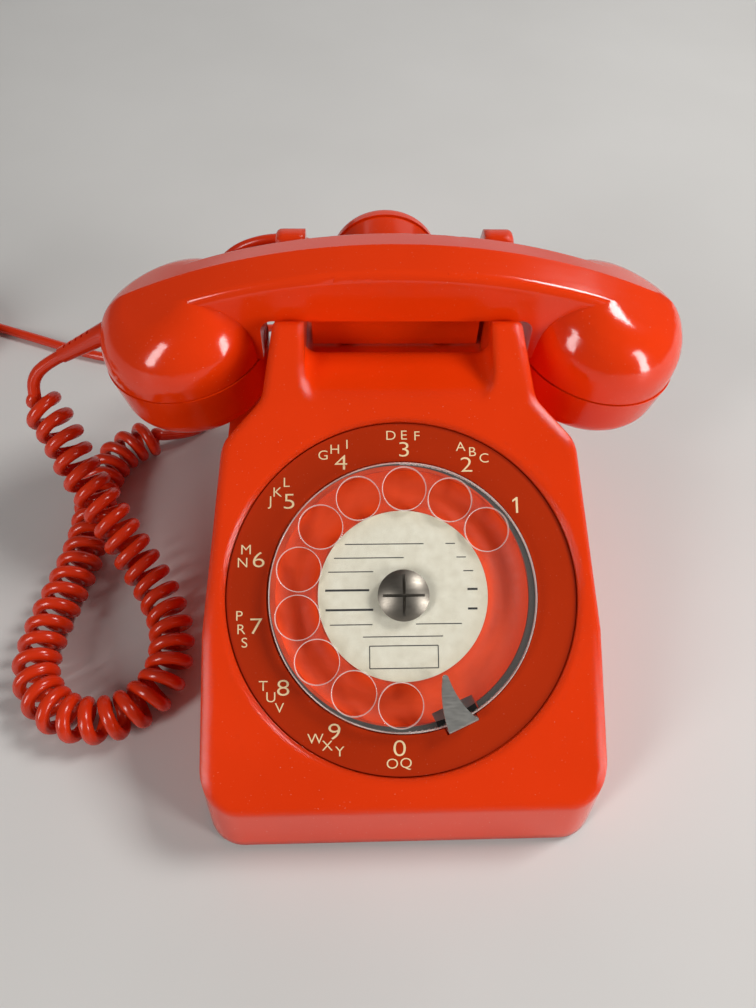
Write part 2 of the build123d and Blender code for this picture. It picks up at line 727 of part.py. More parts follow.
def earpiece_cap():
    """Screw cap of the earpiece."""
    edge = outline(
        (0, EAR_BACK, 0), (EAR_R - 0.6, EAR_BACK, 6), (EAR_R, 107.4, 0), (20.3, 107.4, 0),
        (20.3, 103.6, 0), (18.6, 103.6, 0), (18.6, EAR_BACK - 2.6, 4), (0, EAR_BACK - 2.6, 0),
    )
    cap = ear_turned(edge)
    for radius, count in ((0, 1), (6.5, 6)):
        for number in range(count):
            x, z = polar(radius, 60 * number)
            cap -= bar_between((EAR_X + x, 110, EAR_Z + z), (EAR_X + x, 120, EAR_Z + z), 1.3)
    return cap


def ear_boot_ends():
    """Root and tip of the earpiece's boot, on the upper left of its rim."""
    x, z = polar(EAR_R - 1.2, 154)
    root = Vector(EAR_X + x, 100, EAR_Z + z)
    way = Vector(-0.92, 0, 0.392)
    return root, root + way * 9, way


def earpiece_boot():
    """Short tapered boot."""
    root, tip, way = ear_boot_ends()
    boot = bar_between(root - way * 4, tip, 3.9, 2.8)
    side = EAR_R - 1.5
    case = outline((0, 90, 0), (side, 90, 0), (side, 93, 0), (EAR_R - 0.8, 107, 0), (0, 107, 0))
    return boot - ear_turned(case)


# Inside
def circuit_board():
    """Board on the pips of the tray."""
    return block((-50, 50), (-50, 6), (BOARD_Z, BOARD_TOP))


def induction_coil():
    """Speech transformer: a wound bobbin in its core."""
    core = block((-40, -6), (-20, 4), (BOARD_TOP, BOARD_TOP + 20))
    core -= block((-34, -30), (-30, 10), (BOARD_TOP + 4, BOARD_TOP + 16))
    core -= block((-16, -12), (-30, 10), (BOARD_TOP + 4, BOARD_TOP + 16))
    wound = block((-30, -16), (-22, 6), (BOARD_TOP + 4.5, BOARD_TOP + 15.5))
    return core + fillet(wound.edges().filter_by(Axis.Y), 3)


def capacitor():
    """Round capacitor lying on the board."""
    can = bar_between((6, -8, BOARD_TOP + 8), (42, -8, BOARD_TOP + 8), 8)
    return fillet(can.edges().filter_by(GeomType.CIRCLE), 1)


def terminal_block():
    """Row of cord terminals."""
    strip = block((-44, 44), (-44, -33), (BOARD_TOP, BOARD_TOP + 7))
    for x in TERMINALS:
        strip -= upright(1.6, BOARD_TOP + 3, BOARD_TOP + 10, x, -38.5)
        strip -= block((x - 1.5, x + 1.5), (-46, -41), (BOARD_TOP + 1.5, BOARD_TOP + 4.5))
    return strip


def terminal_screws():
    """One screw for each terminal."""
    top = BOARD_TOP + 7
    return group([screw(Plane(origin=(x, -38.5, top)), 2.6, 1.4, 1.5, 3.8) for x in TERMINALS])


def ringer_frame():
    """Plate that carries the gong posts, the coils' yoke and the clapper's pivot."""
    frame = block((-36, 36), (27, 84), (PLATE_Z + PLATE_T, 6.6))
    frame += block((-22, 22), (81, 84), (6.6, 32))
    frame += upright(2.0, 6.6, 27, 0, CLAPPER_Y)
    for side in (-1, 1):
        frame += upright(4, 6.6, 24, side * GONG_X, GONG_Y)
        frame -= upright(1.5, 12, 30, side * GONG_X, GONG_Y)
    return frame


def ringer_coils():
    """Two wound bobbins on the yoke."""
    coils = []
    for side in (-1, 1):
        coil = bar_between((side * 12, 62.5, 20), (side * 12, 81, 20), 4)
        coil += bar_between((side * 12, 64, 20), (side * 12, 79.5, 20), 8.5)
        for start in (63, 79.5):
            coil += bar_between((side * 12, start, 20), (side * 12, start + 1.2, 20), 10)
        coils.append(coil)
    return group(coils)


def gong(side):
    """Bell cup over its post."""
    inner, outer = GONG_R - 1.6, GONG_R
    edge = outline(
        (1.6, 25.6, 0), (outer, 25.6, 9), (outer, 11, 0), (inner, 11, 0), (inner, 24, 7.6), (1.6, 24, 0),
    )
    return Pos(side * GONG_X, GONG_Y, 0) * revolve(Plane.XZ * edge, axis=Axis.Z)


def gong_screws():
    """Screw on top of each gong."""
    return group([screw(Plane(origin=(side * GONG_X, GONG_Y, 25.6)), 4, 2, 1.4, 12) for side in (-1, 1)])


def clapper():
    """Armature, rod and ball that swing between the gongs."""
    arm = block((-ARMATURE_HALF, ARMATURE_HALF), (CLAPPER_Y - 1.5, CLAPPER_Y + 1.5), (17, 23))
    arm += upright(4.2, 16, 24, 0, CLAPPER_Y)
    arm += bar_between((0, CLAPPER_Y - 3, 20), (0, GONG_Y, 20), 1.2)
    arm += Pos(0, GONG_Y, 20) * Sphere(3)
    return arm - upright(2.06, 0, 40, 0, CLAPPER_Y)


def hook_bar():
    """Bar under the grip, with an apron in front, on two stems joined below the trough."""
    bar = block((-33, 33), (GRIP_Y - 5, GRIP_Y + 5), (103.5, SADDLE_Z))
    bar = fillet(bar.edges().filter_by(Axis.X), 2)
    bar += block((-33, 33), (GRIP_Y - 5, GRIP_Y - 3.2), (TROUGH_Z + 1.5, 106))
    for x in HOOK_STEM_X:
        bar += upright(3, 77, 104, x, GRIP_Y)
    return bar + block((-24, 24), (GRIP_Y - 3, GRIP_Y + 3), (77, 81))


def hook_bracket():
    """Bracket on the back wall with the lever's pin."""
    bracket = block((-9, 9), (66, BACK_Y - WALL), (60, 62))
    for side in (-1, 1):
        bracket += block(sorted((side * 5, side * 7)), (LEVER_Y - 5, LEVER_Y + 5), (62, 80))
    return bracket + bar_between((-7, LEVER_Y, LEVER_Z), (7, LEVER_Y, LEVER_Z), 2.0)


def hook_lever():
    """Lever that the stems' cross piece presses down."""
    lever = block((-4, 4), (55.6, LEVER_Y), (72, 76.4))
    lever += bar_between((-4, LEVER_Y, LEVER_Z), (4, LEVER_Y, LEVER_Z), 4.4)
    return lever - bar_between((-9, LEVER_Y, LEVER_Z), (9, LEVER_Y, LEVER_Z), 2.06)


def hook_contacts():
    """Stack of contact springs beside the lever."""
    stack = block((12, 22), (76, BACK_Y - WALL), (60, 76))
    for rise in (62, 66, 70, 74):
        stack += block((13, 21), (58, 77), (rise, rise + 0.5))
    return stack


def hook_spring():
    """Coil spring that lifts the lever."""
    turns, radius, low, high, wire = 5, 3.2, 62.6, 71.4, 0.8

    def place(turn):
        x, y = polar(radius, 360 * turn)
        return Vector(x, 71 + y, low + (high - low) * turn / turns)

    return curve_tube(place, [step / 4 for step in range(4 * turns + 1)], wire)


# Cords
def curve_tube(place, stations, wire):
    """Round tube along a curve, swept on a pair of arcs from each station to the next."""
    small = 1e-4
    points = [place(station) for station in stations]
    ways = [(place(station + small) - place(station - small)).normalized() for station in stations]
    edges = []
    for index in range(len(points) - 1):
        edges += arc_pair(points[index], ways[index], points[index + 1], ways[index + 1])
    section = Plane(origin=points[0], z_dir=ways[0]) * Circle(wire / 2)
    return sweep(section, path=Wire(edges))


def arc_pair(start, start_way, end, end_way):
    """Two arcs that meet in one tangent, with the given points and directions at their ends."""
    gap = end - start
    both = start_way + end_way
    spread = 2 * (1 - start_way.dot(end_way))
    along = gap.dot(both)
    if spread < 1e-9:
        reach = gap.dot(gap) / (2 * along)
    else:
        reach = (-along + math.sqrt(along ** 2 + spread * gap.dot(gap))) / spread
    first = start + start_way * reach
    second = end - end_way * reach
    middle = (first + second) / 2
    middle_way = (second - first).normalized()
    return [arc_or_line(start, start_way, middle), arc_or_line(middle, middle_way, end)]


def arc_or_line(start, way, end):
    """Arc that leaves in a direction, or a line where the end lies straight ahead."""
    if way.cross((end - start).normalized()).length < 1e-5:
        return Edge.make_line(start, end)
    return Edge.make_tangent_arc(start, way, end)


def least_gap(points, wire, apart):
    """Least clear distance between parts of a tube that are some points apart along it."""
    cells = {}
    for index, point in enumerate(points):
        key = (round(point.X / wire), round(point.Y / wire), round(point.Z / wire))
        cells.setdefault(key, []).append(index)
    best = 10 * wire
    near = [(i, j, k) for i in (-2, -1, 0, 1, 2) for j in (-2, -1, 0, 1, 2) for k in (-2, -1, 0, 1, 2)]
    for key, members in cells.items():
        for step in near:
            others = cells.get((key[0] + step[0], key[1] + step[1], key[2] + step[2]), [])
            for first in members:
                for second in others:
                    if second - first > apart:
                        best = min(best, (points[first] - points[second]).length)
    return best - wire


def route_path(name, points):
    """Straight runs joined by the largest arcs that they leave room for."""
    corners = [Vector(*point) for point in points]
    radii = []
    for before, here, after in zip(corners, corners[1:], corners[2:]):
        turn = (here - before).get_angle(after - here)
        run = min((here - before).length, (after - here).length)
        radii.append(0.45 * run / math.tan(math.radians(turn) / 2))
    path = FilletPolyline(*corners, radius=radii)
    print(f"{name}: length {path.length:.0f} mm, least radius {min(radii):.1f} mm")
    return path


def route_tube(name, points, wire):
    """Plain tube along a route."""
    path = route_path(name, points)
    section = Plane(origin=path @ 0, z_dir=path % 0) * Circle(wire / 2)
    tube = sweep(section, path=path)
    share = tube.volume / (math.pi * wire ** 2 / 4 * path.length)
    print(f"{name}: volume is {share:.4f} of section times length")
    return tube


def handset_cord():
    """Curly cord: one tube, straight at both ends and wound into curls between them."""
    path = route_path("handset_cord route", HANDSET_ROUTE)
    length = path.length
    radius = (CURL_OUTER - CURL_WIRE) / 2
    ramp = 0.75 * CURL_PITCH
    sides = [Vector(0, 0, 1).cross(path % 0).normalized()]
    for step in range(1, int(length) + 2):
        way = path % min(step / length, 1)
        side = sides[-1] - way * sides[-1].dot(way)
        sides.append(side.normalized())

    def place(distance):
        share = min(max(distance / length, 0), 1)
        center = path @ share + (path % share) * (distance - share * length)
        rise = min(max((distance - CURL_START) / ramp, 0), 1)
        fall = min(max((length - CURL_TAIL - distance) / ramp, 0), 1)
        size = radius * rise ** 2 * (3 - 2 * rise) * fall ** 2 * (3 - 2 * fall)
        if size == 0:
            return center
        way = path % share
        side = sides[min(int(share * length), len(sides) - 1)]
        side = (side - way * side.dot(way)).normalized()
        angle = 2 * math.pi * (distance - CURL_START) / CURL_PITCH
        return center + (side * math.cos(angle) + way.cross(side) * math.sin(angle)) * size

    curls = int((length - CURL_TAIL - CURL_START) / CURL_PITCH * 4)
    stations = [CURL_START * step / 6 for step in range(6)]
    stations += [CURL_START + CURL_PITCH * step / 4 for step in range(curls + 1)]
    last = stations[-1]
    stations += [last + (length - last) * step / 12 for step in range(1, 13)]
    fine = [place(CURL_START + CURL_PITCH * step / 20) for step in range(5 * curls)]
    wire_length = sum((b - a).length for a, b in zip(fine, fine[1:]))
    print(f"handset_cord: {curls / 4:.1f} curls, wire {wire_length + CURL_START + CURL_TAIL:.0f} mm,"
          f" least gap {least_gap(fine, CURL_WIRE, 8):.2f} mm")
    return curve_tube(place, stations, CURL_WIRE)


def coil_curve(start, heading, wire, coil):
    """Piled loops that spiral in and out again and climb a layer where the spiral turns back.

    The curve runs straight for one wire diameter at each end. Its measure is turns, with the
    straight ends before 0 and after the last turn.
    """
    turns, layers, outer, hand = coil["turns"], coil["layers"], coil["outer"], coil["hand"]
    step = wire + COIL_STEP
    per_layer = turns / layers
    begin = Vector(*start) + heading * wire
    inward = Vector(-heading.Y, heading.X, 0) * hand
    middle = begin + inward * outer
    first = math.degrees(math.atan2(-inward.Y, -inward.X))

    def loop(turn):
        layer = min(int(turn / per_layer), layers - 1)
        inside = turn - layer * per_layer
        radius = outer - step * (inside if layer % 2 == 0 else per_layer - inside)
        level = 0.0
        for change in range(1, layers):
            share = min(max((turn - change * per_layer) / 0.5 + 0.5, 0), 1)
            level += share * share * (3 - 2 * share)
        x, y = polar(radius, first + hand * 360 * turn)
        return Vector(middle.X + x, middle.Y + y, begin.Z + level * step)

    small = 1e-3
    leave = (loop(turns) - loop(turns - small)).normalized()
    per_turn = 2 * math.pi * outer

    def place(turn):
        if turn < 0:
            return loop(0) + heading * (turn * per_turn)
        if turn > turns:
            return loop(turns) + leave * ((turn - turns) * per_turn)
        return loop(turn)

    return place, middle, wire / per_turn


def cord_coil(name, route, wire, coil):
    """Put-away coil that carries on where a route ends, with the point and direction at its own end."""
    place, middle, lead = coil_curve(route[-1], last_way(route), wire, coil)
    turns = coil["turns"]
    count = math.ceil(turns * 4)
    stations = [-lead] + [turns * index / count for index in range(count + 1)] + [turns + lead]
    fine = [place(turns * index / (12 * count)) for index in range(12 * count + 1)]
    length = sum((b - a).length for a, b in zip(fine, fine[1:])) + 2 * wire
    print(f"{name}: wire {length:.0f} mm, least gap {least_gap(fine, wire, 16):.2f} mm")
    end = place(turns + lead)
    leave = (end - place(turns)).normalized()
    return curve_tube(place, stations, wire), end, leave, middle


def last_way(route):
    """Level direction of a route's last run."""
    run = Vector(*route[-1]) - Vector(*route[-2])
    return Vector(run.X, run.Y, 0).normalized()


def coil_tie(middle, wire, coil, angle):
    """Band round the loops at one place."""
    depth = coil["turns"] / coil["layers"] * (wire + COIL_STEP)
    inner = coil["outer"] - depth - wire / 2 - 0.6
    outer = coil["outer"] + wire / 2 + 0.6
    top = COIL_LOW + wire + (coil["layers"] - 1) * (wire + COIL_STEP) + 0.6
    band = block((inner - 1, outer + 1), (-3, 3), (0.1, top + 1))
    band = fillet(band.edges().filter_by(Axis.Y), 2)
    band -= block((inner, outer), (-4, 4), (COIL_LOW - 0.4, top))
    return Pos(middle.X, middle.Y, 0) * Rot(0, 0, angle) * band


def line_plug(end):
    """Wall plug at the end of the line cord: a moulded body with a tapered boot."""
    body = Pos(end.X, end.Y - 33, 1) * extrude(RectangleRounded(27, 34, 5), amount=14)
    body = fillet(body.edges().group_by(Axis.Z)[-1], 2)
    return body + bar_between((end.X, end.Y - 17, end.Z), end, 5.5, 3.2)


def plug_pins(end):
    """Flat contact blades of the plug."""
    front = end.Y - 50
    middles = (end.X - 8, end.X, end.X + 8)
    return group([block((x - 2.5, x + 2.5), (front - 13, front), (7.2, 8.8)) for x in middles])


def cords():
    """All cord nodes, laid out from their boots and grommets."""
    line = route_tube("line_cord", LINE_ROUTE, LINE_WIRE)
    coil, end, leave, middle = cord_coil("line_cord_coil", LINE_ROUTE, LINE_WIRE, LINE_COIL)
    plug_route = [end + leave * along + Vector(0, 0, -drop) for along, drop in PLUG_DROPS]
    tail = route_tube("line_cord end", plug_route, LINE_WIRE)
    ear = route_tube("earpiece_cord", EAR_ROUTE, EAR_WIRE)
    ear_coil, ear_end, ear_leave, ear_middle = cord_coil("earpiece_cord_coil", EAR_ROUTE, EAR_WIRE, EAR_COIL)
    ear_sag = ear_end + ear_leave * 10 + Vector(0, 0, -1)
    ear_tail = route_tube("earpiece_cord end", [ear_end, ear_sag, *EAR_END_ROUTE], EAR_WIRE)
    ties = [coil_tie(middle, LINE_WIRE, LINE_COIL, 300), coil_tie(ear_middle, EAR_WIRE, EAR_COIL, 200)]
    plug_end = plug_route[-1]
    return {
        "handset_cord": handset_cord(),
        "line_cord": group([line, tail]),
        "line_cord_coil": coil,
        "coil_ties": group(ties),
        "line_plug": line_plug(plug_end),
        "plug_pins": plug_pins(plug_end),
        "earpiece_cord": group([ear, ear_tail]),
        "earpiece_cord_coil": ear_coil,
    }


def dial_pieces():
    """The dial and its gear train."""
    return {
        "number_ring": number_ring(),
        "dial_dish": dial_dish(),
        "dial_rim": dial_rim(),
        "finger_stop": finger_stop(),
        "finger_wheel": finger_wheel(),
        "label_card": label_card(),
        "center_screw": center_screw(),
        "main_shaft": main_shaft(),
        "main_gear": main_gear(),
        "pulse_gear": pulse_gear(),
        "impulse_cam": impulse_cam(),
        "impulse_contacts": impulse_contacts(),
        "governor_shaft": governor_shaft(),
        "governor_weights": governor_weights(),
        "governor_cup": governor_cup(),
        "dial_frame": dial_frame(),
        "gear_bridge": gear_bridge(),
        "dial_screws": dial_screws(),
        "return_spring": return_spring(),
    }


def handset_pieces():
    """The handset and the second earpiece."""
    floor = CAP_BOTTOM + CAP_WALL
    return {
        "handset_shell": handset_shell(),
        "mouth_cap": handset_cap(-1, MOUTH_SEAM, MOUTH_HOLES),
        "ear_cap": handset_cap(1, EAR_SEAM, EAR_HOLES),
        "microphone_capsule": capsule(19, floor, floor + 11, cup_place(-1)),
        "receiver_capsule": capsule(18, floor, floor + 10, cup_place(1)),
        "handset_boot": handset_boot(),
        "earpiece_hook": earpiece_hook(),
        "earpiece_shell": earpiece_shell(),
        "earpiece_cap": earpiece_cap(),
        "earpiece_capsule": capsule(17.8, 0, 6.5, Pos(EAR_X, 110.5, EAR_Z) * Rot(90, 0, 0)),
        "earpiece_boot": earpiece_boot(),
    }


def body_pieces():
    """The housing and what it holds."""
    return {
        "housing": housing(),
        "base_plate": base_plate(),
        "rubber_feet": rubber_feet(),
        "housing_screws": housing_screws(),
        "cord_grommets": cord_grommets(),
        "circuit_board": circuit_board(),
        "induction_coil": induction_coil(),
        "capacitor": capacitor(),
        "terminal_block": terminal_block(),
        "terminal_screws": terminal_screws(),
        "ringer_frame": ringer_frame(),
        "ringer_coils": ringer_coils(),
        "gong_left": gong(-1),
        "gong_right": gong(1),
        "gong_screws": gong_screws(),
        "clapper": clapper(),
        "hook_bar": hook_bar(),
        "hook_bracket": hook_bracket(),
        "hook_lever": hook_lever(),
        "hook_contacts": hook_contacts(),
        "hook_spring": hook_spring(),
    }


def main():
    """Build every piece and write one file for each."""
    nodes = {**body_pieces(), **dial_pieces(), **handset_pieces(), **cords()}
    os.makedirs("parts", exist_ok=True)
    for name, part in nodes.items():
        export_step(part, f"parts/{name}.step")


if __name__ == "__main__":
    main()
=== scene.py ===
# %% [markdown]
# # An orange rotary telephone
# A desk telephone of glossy moulded plastic: a sloped housing with a dial, a handset on a cradle, a
# curly handset cord, a smooth line cord and a second earpiece hung on the back. The solid parts come
# from a fixed frame in metres. This lesson gives them their finish, lays the cords and prints the dial.

# %% Load the frame
import json
import math

import bmesh
import bpy
from mathutils import Matrix, Vector


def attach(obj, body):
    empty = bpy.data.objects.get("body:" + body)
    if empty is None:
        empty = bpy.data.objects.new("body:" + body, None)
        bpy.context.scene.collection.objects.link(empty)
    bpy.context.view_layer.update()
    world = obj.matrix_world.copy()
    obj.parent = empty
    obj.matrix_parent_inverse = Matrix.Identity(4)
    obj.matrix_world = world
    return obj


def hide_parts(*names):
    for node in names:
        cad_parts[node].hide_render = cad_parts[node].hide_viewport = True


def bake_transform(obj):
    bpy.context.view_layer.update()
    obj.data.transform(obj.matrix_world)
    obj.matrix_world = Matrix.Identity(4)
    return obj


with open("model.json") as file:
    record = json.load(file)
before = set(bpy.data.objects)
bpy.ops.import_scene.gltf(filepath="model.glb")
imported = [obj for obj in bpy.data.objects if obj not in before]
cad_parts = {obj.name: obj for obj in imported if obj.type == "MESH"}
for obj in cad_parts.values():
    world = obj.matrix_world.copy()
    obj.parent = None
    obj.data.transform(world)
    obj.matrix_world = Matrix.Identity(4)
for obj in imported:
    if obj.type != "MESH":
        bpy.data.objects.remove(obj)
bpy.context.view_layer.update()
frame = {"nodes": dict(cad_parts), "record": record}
MM = 0.001
print("nodes", len(frame["nodes"]))

# %% [markdown]
# ## Camera
# The telephone is seen from above its front edge, as by someone about to dial. A camera can be placed by
# eye, but a dial tells more: its circles show as ellipses, and the camera's place and its three turns
# were solved from them, so that circles of the frame fall on the same pixels here. The focal length is
# kept in pixels of the 756 by 1008 picture.

# %% Set the camera
PICTURE_HEIGHT = 1008
FOCAL_PIXELS = 770.0
SENSOR = 36.0
NEAREST_SEEN = 0.01
CAMERA_PLACE = Vector((-0.01819, -0.18172, 0.30544))
PITCH, YAW, ROLL = math.radians(53.87), math.radians(3.40), math.radians(-2.27)


def add_object(name, data):
    """New object in the scene that shows this data."""
    piece = bpy.data.objects.new(name, data)
    bpy.context.scene.collection.objects.link(piece)
    return piece


def camera_matrix():
    """Place and turn of a camera that looks down by PITCH, aside by YAW and leans by ROLL."""
    ahead = Vector((math.sin(YAW) * math.cos(PITCH), math.cos(YAW) * math.cos(PITCH), -math.sin(PITCH)))
    level = Vector((math.cos(YAW), -math.sin(YAW), 0))
    down = ahead.cross(level)
    across = level * math.cos(ROLL) + down * math.sin(ROLL)
    drop = down * math.cos(ROLL) - level * math.sin(ROLL)
    turn = Matrix((across, -drop, -ahead)).transposed()
    return Matrix.Translation(CAMERA_PLACE) @ turn.to_4x4()


camera_data = bpy.data.cameras.new("camera")
camera_data.sensor_width = SENSOR
camera_data.lens = FOCAL_PIXELS / PICTURE_HEIGHT * SENSOR
camera_data.clip_start = NEAREST_SEEN
camera = add_object("camera", camera_data)
camera.matrix_world = camera_matrix()
bpy.context.scene.camera = camera
print("lens", round(camera_data.lens, 2))

# %% [markdown]
# ## Finishes
# A finish can be a painted picture that is fitted to each piece, or one even colour. The first is much
# work and the second looks like a drawing. Here a finish is a colour that noise shifts a little. The
# noise is read at the piece's own coordinates, so nothing has to be fitted. The simplest finish is the
# ink of the dial's printing, which is matt and thin in places.

# %% Mix the inks
INK_WEAR_SCALE = 600.0
INK_THIN = 0.9
INK_ROUGHNESS = 0.45


def blank_material(name):
    """New material with its node tree and its surface shader."""
    material = bpy.data.materials.new(name)
    material.use_nodes = True
    tree = material.node_tree
    return material, tree, tree.nodes["Principled BSDF"]


def add_noise(tree, scale, detail, stretch=None):
    """Noise over the piece's own coordinates, in metres, drawn out along one direction if asked."""
    place = tree.nodes.new("ShaderNodeTexCoord").outputs["Object"]
    if stretch:
        squeeze = tree.nodes.new("ShaderNodeMapping")
        squeeze.inputs["Scale"].default_value = stretch
        tree.links.new(place, squeeze.inputs["Vector"])
        place = squeeze.outputs["Vector"]
    noise = tree.nodes.new("ShaderNodeTexNoise")
    noise.inputs["Scale"].default_value = scale
    noise.inputs["Detail"].default_value = detail
    tree.links.new(place, noise.inputs["Vector"])
    return noise.outputs["Fac"]


def ramp_between(tree, source, low, high, start=0.3, end=0.7):
    """Colour that runs from low to high while a value runs from start to end."""
    ramp = tree.nodes.new("ShaderNodeValToRGB")
    for element, place, colour in zip(ramp.color_ramp.elements, (start, end), (low, high)):
        element.position = place
        element.color = (*colour, 1)
    tree.links.new(source, ramp.inputs["Fac"])
    return ramp.outputs["Color"]


def darker(colour, factor):
    """Colour times a factor."""
    return tuple(value * factor for value in colour)


def printed_ink(name, colour):
    """Printed ink, thin in places."""
    material, tree, shader = blank_material(name)
    wear = add_noise(tree, INK_WEAR_SCALE, detail=4.0)
    tint = ramp_between(tree, wear, darker(colour, INK_THIN), colour)
    tree.links.new(tint, shader.inputs["Base Color"])
    shader.inputs["Roughness"].default_value = INK_ROUGHNESS
    return material


CREAM_INK = printed_ink("cream ink", (0.95, 0.72, 0.40))
BLACK_INK = printed_ink("black ink", (0.03, 0.03, 0.03))
print("inks", CREAM_INK.name, "and", BLACK_INK.name)

# %% [markdown]
# The screws, the finger stop, the gears and the bells are bare metal. Metal shows little but what it
# mirrors, tinted by its colour, so the shader is fully metallic and stains vary the tint. Rubbing leaves
# fine marks in one direction. A scratched picture could show them, but a noise drawn out along one axis
# is enough at this size: it varies the gloss and lifts a very low bump. Steel, brass and copper differ
# only in tint and gloss, so one function makes them all.

# %% Make the metals
STAIN_SCALE, STAIN_DARK = 160.0, 0.9
RUB_SCALE, RUB_STRETCH, RUB_DEPTH = 260.0, (1.0, 6.0, 1.0), 0.00002
GLOSSIER, DULLER = 0.9, 1.15
BUMP_STRENGTH = 0.6


def grey(value):
    """Grey as a colour."""
    return (value, value, value)


def vary_gloss(tree, shader, source, gloss):
    """Roughness a little under and over a value, by a noise."""
    sheen = ramp_between(tree, source, grey(gloss * GLOSSIER), grey(gloss * DULLER))
    tree.links.new(sheen, shader.inputs["Roughness"])


def add_bump(tree, shader, source, depth):
    """Bump of a depth in metres."""
    bump = tree.nodes.new("ShaderNodeBump")
    bump.inputs["Strength"].default_value = BUMP_STRENGTH
    bump.inputs["Distance"].default_value = depth
    tree.links.new(source, bump.inputs["Height"])
    tree.links.new(bump.outputs["Normal"], shader.inputs["Normal"])
    return bump


def worked_metal(name, colour, gloss):
    """Metal with a fine rubbed grain."""
    material, tree, shader = blank_material(name)
    shader.inputs["Metallic"].default_value = 1.0
    stain = add_noise(tree, STAIN_SCALE, detail=4.0)
    tint = ramp_between(tree, stain, darker(colour, STAIN_DARK), colour)
    tree.links.new(tint, shader.inputs["Base Color"])
    rub = add_noise(tree, RUB_SCALE, detail=3.0, stretch=RUB_STRETCH)
    vary_gloss(tree, shader, rub, gloss)
    add_bump(tree, shader, rub, RUB_DEPTH)
    return material


STEEL = worked_metal("plain steel", (0.50, 0.50, 0.49), 0.32)
SATIN_STEEL = worked_metal("satin steel", (0.50, 0.48, 0.44), 0.46)
WORN_STEEL = worked_metal("worn steel", (0.27, 0.24, 0.20), 0.40)
DARK_METAL = worked_metal("dark metal", (0.10, 0.10, 0.11), 0.42)
BRASS = worked_metal("brass", (0.62, 0.45, 0.18), 0.3)
BELL = worked_metal("bell metal", (0.62, 0.62, 0.62), 0.16)
COPPER = worked_metal("enamelled copper", (0.42, 0.16, 0.06), 0.38)
print("metals from", STEEL.name, "to", COPPER.name)

# %% [markdown]
# Nearly everything that shows is one orange-red plastic in several states: polished on the housing and
# handset, deeper on the number ring, satin on the cords. One function makes a moulded plastic from its
# colour and gloss. A large soft noise shifts the colour a little, as old plastic does. A finer noise,
# drawn out in one direction, varies the gloss like the wiping of a cloth. A very fine bump stands for
# the mould's surface, and a few pale specks of dust break the even colour. The mould of the real housing
# rounded its inner corners, which are sharp in the frame. Here the shading rounds them, so that the mesh
# can stay as it is.

# %% Make the plastics
FADE_SCALE, FADE_DARK, FADE_PALE, FADE_LIFT = 18.0, 0.95, 1.05, 0.001
DUST, DUST_SCALE, DUST_FROM, DUST_FULL = (0.80, 0.42, 0.30), 1900.0, 0.82, 0.86
WIPE_SCALE, WIPE_STRETCH = 60.0, (1.0, 9.0, 4.0)
GRAIN_SCALE = 1100.0
PLASTIC_IOR = 1.5


def mix_colours(tree, amount, first, second):
    """Colour between two ends, each a socket or a fixed colour, by an amount socket."""
    mix = tree.nodes.new("ShaderNodeMix")
    mix.data_type = "RGBA"
    tree.links.new(amount, mix.inputs["Factor"])
    ends = [socket for socket in mix.inputs if socket.type == "RGBA"]
    for end, colour in zip(ends, (first, second)):
        if isinstance(colour, tuple):
            end.default_value = (*colour, 1)
        else:
            tree.links.new(colour, end)
    return next(socket for socket in mix.outputs if socket.type == "RGBA")


def moulded_plastic(name, colour, gloss, grain=0.00001, dust=0.0, soften=0.0):
    """Moulded plastic with a slight shift of colour and of gloss, a share of dust and softened edges."""
    material, tree, shader = blank_material(name)
    fade = add_noise(tree, FADE_SCALE, detail=3.0)
    paler = tuple(min(value * FADE_PALE + FADE_LIFT, 1) for value in colour)
    tint = ramp_between(tree, fade, darker(colour, FADE_DARK), paler)
    specks = add_noise(tree, DUST_SCALE, detail=0.0)
    dusty = ramp_between(tree, specks, grey(0), grey(dust), DUST_FROM, DUST_FULL)
    tree.links.new(mix_colours(tree, dusty, tint, DUST), shader.inputs["Base Color"])
    vary_gloss(tree, shader, add_noise(tree, WIPE_SCALE, detail=3.0, stretch=WIPE_STRETCH), gloss)
    bump = add_bump(tree, shader, add_noise(tree, GRAIN_SCALE, detail=2.0), grain)
    if soften:
        edges = tree.nodes.new("ShaderNodeBevel")
        edges.inputs["Radius"].default_value = soften
        tree.links.new(edges.outputs["Normal"], bump.inputs["Normal"])
    shader.inputs["IOR"].default_value = PLASTIC_IOR
    return material


SHELL = moulded_plastic("orange shell", (0.82, 0.040, 0.001), 0.13, dust=0.35)
HOUSING = moulded_plastic("orange housing", (0.82, 0.040, 0.001), 0.13, dust=0.35, soften=0.0045)
RING = moulded_plastic("orange ring", (0.45, 0.026, 0.001), 0.12, dust=0.15)
# Painted light: the dish has a paler orange than the shell, to stand for more light on it under the clear
# wheel.
DISH_PAINTED_PALER = moulded_plastic("orange dish painted paler", (0.86, 0.066, 0.001), 0.62)
CORD = moulded_plastic("orange cord", (0.70, 0.034, 0.004), 0.22, grain=0.00003)
RUBBER = moulded_plastic("black rubber", (0.018, 0.018, 0.018), 0.75, grain=0.00006)
DARK_PLASTIC = moulded_plastic("dark plastic", (0.045, 0.040, 0.036), 0.5)
BOARD = moulded_plastic("brown laminate", (0.26, 0.13, 0.04), 0.55)
print("plastics from", SHELL.name, "to", BOARD.name)

# %% [markdown]
# The finger wheel is clear plastic. Real glass shading would put the card under it in shadow, so the
# surface is mostly open instead, and what is left of it is a faint haze. Polished plastic gathers light
# at its edges, so the walls of the holes and the rim close up and draw thin pale circles. They are told
# from the flat faces by how far their normal leans away from the dial's axis.

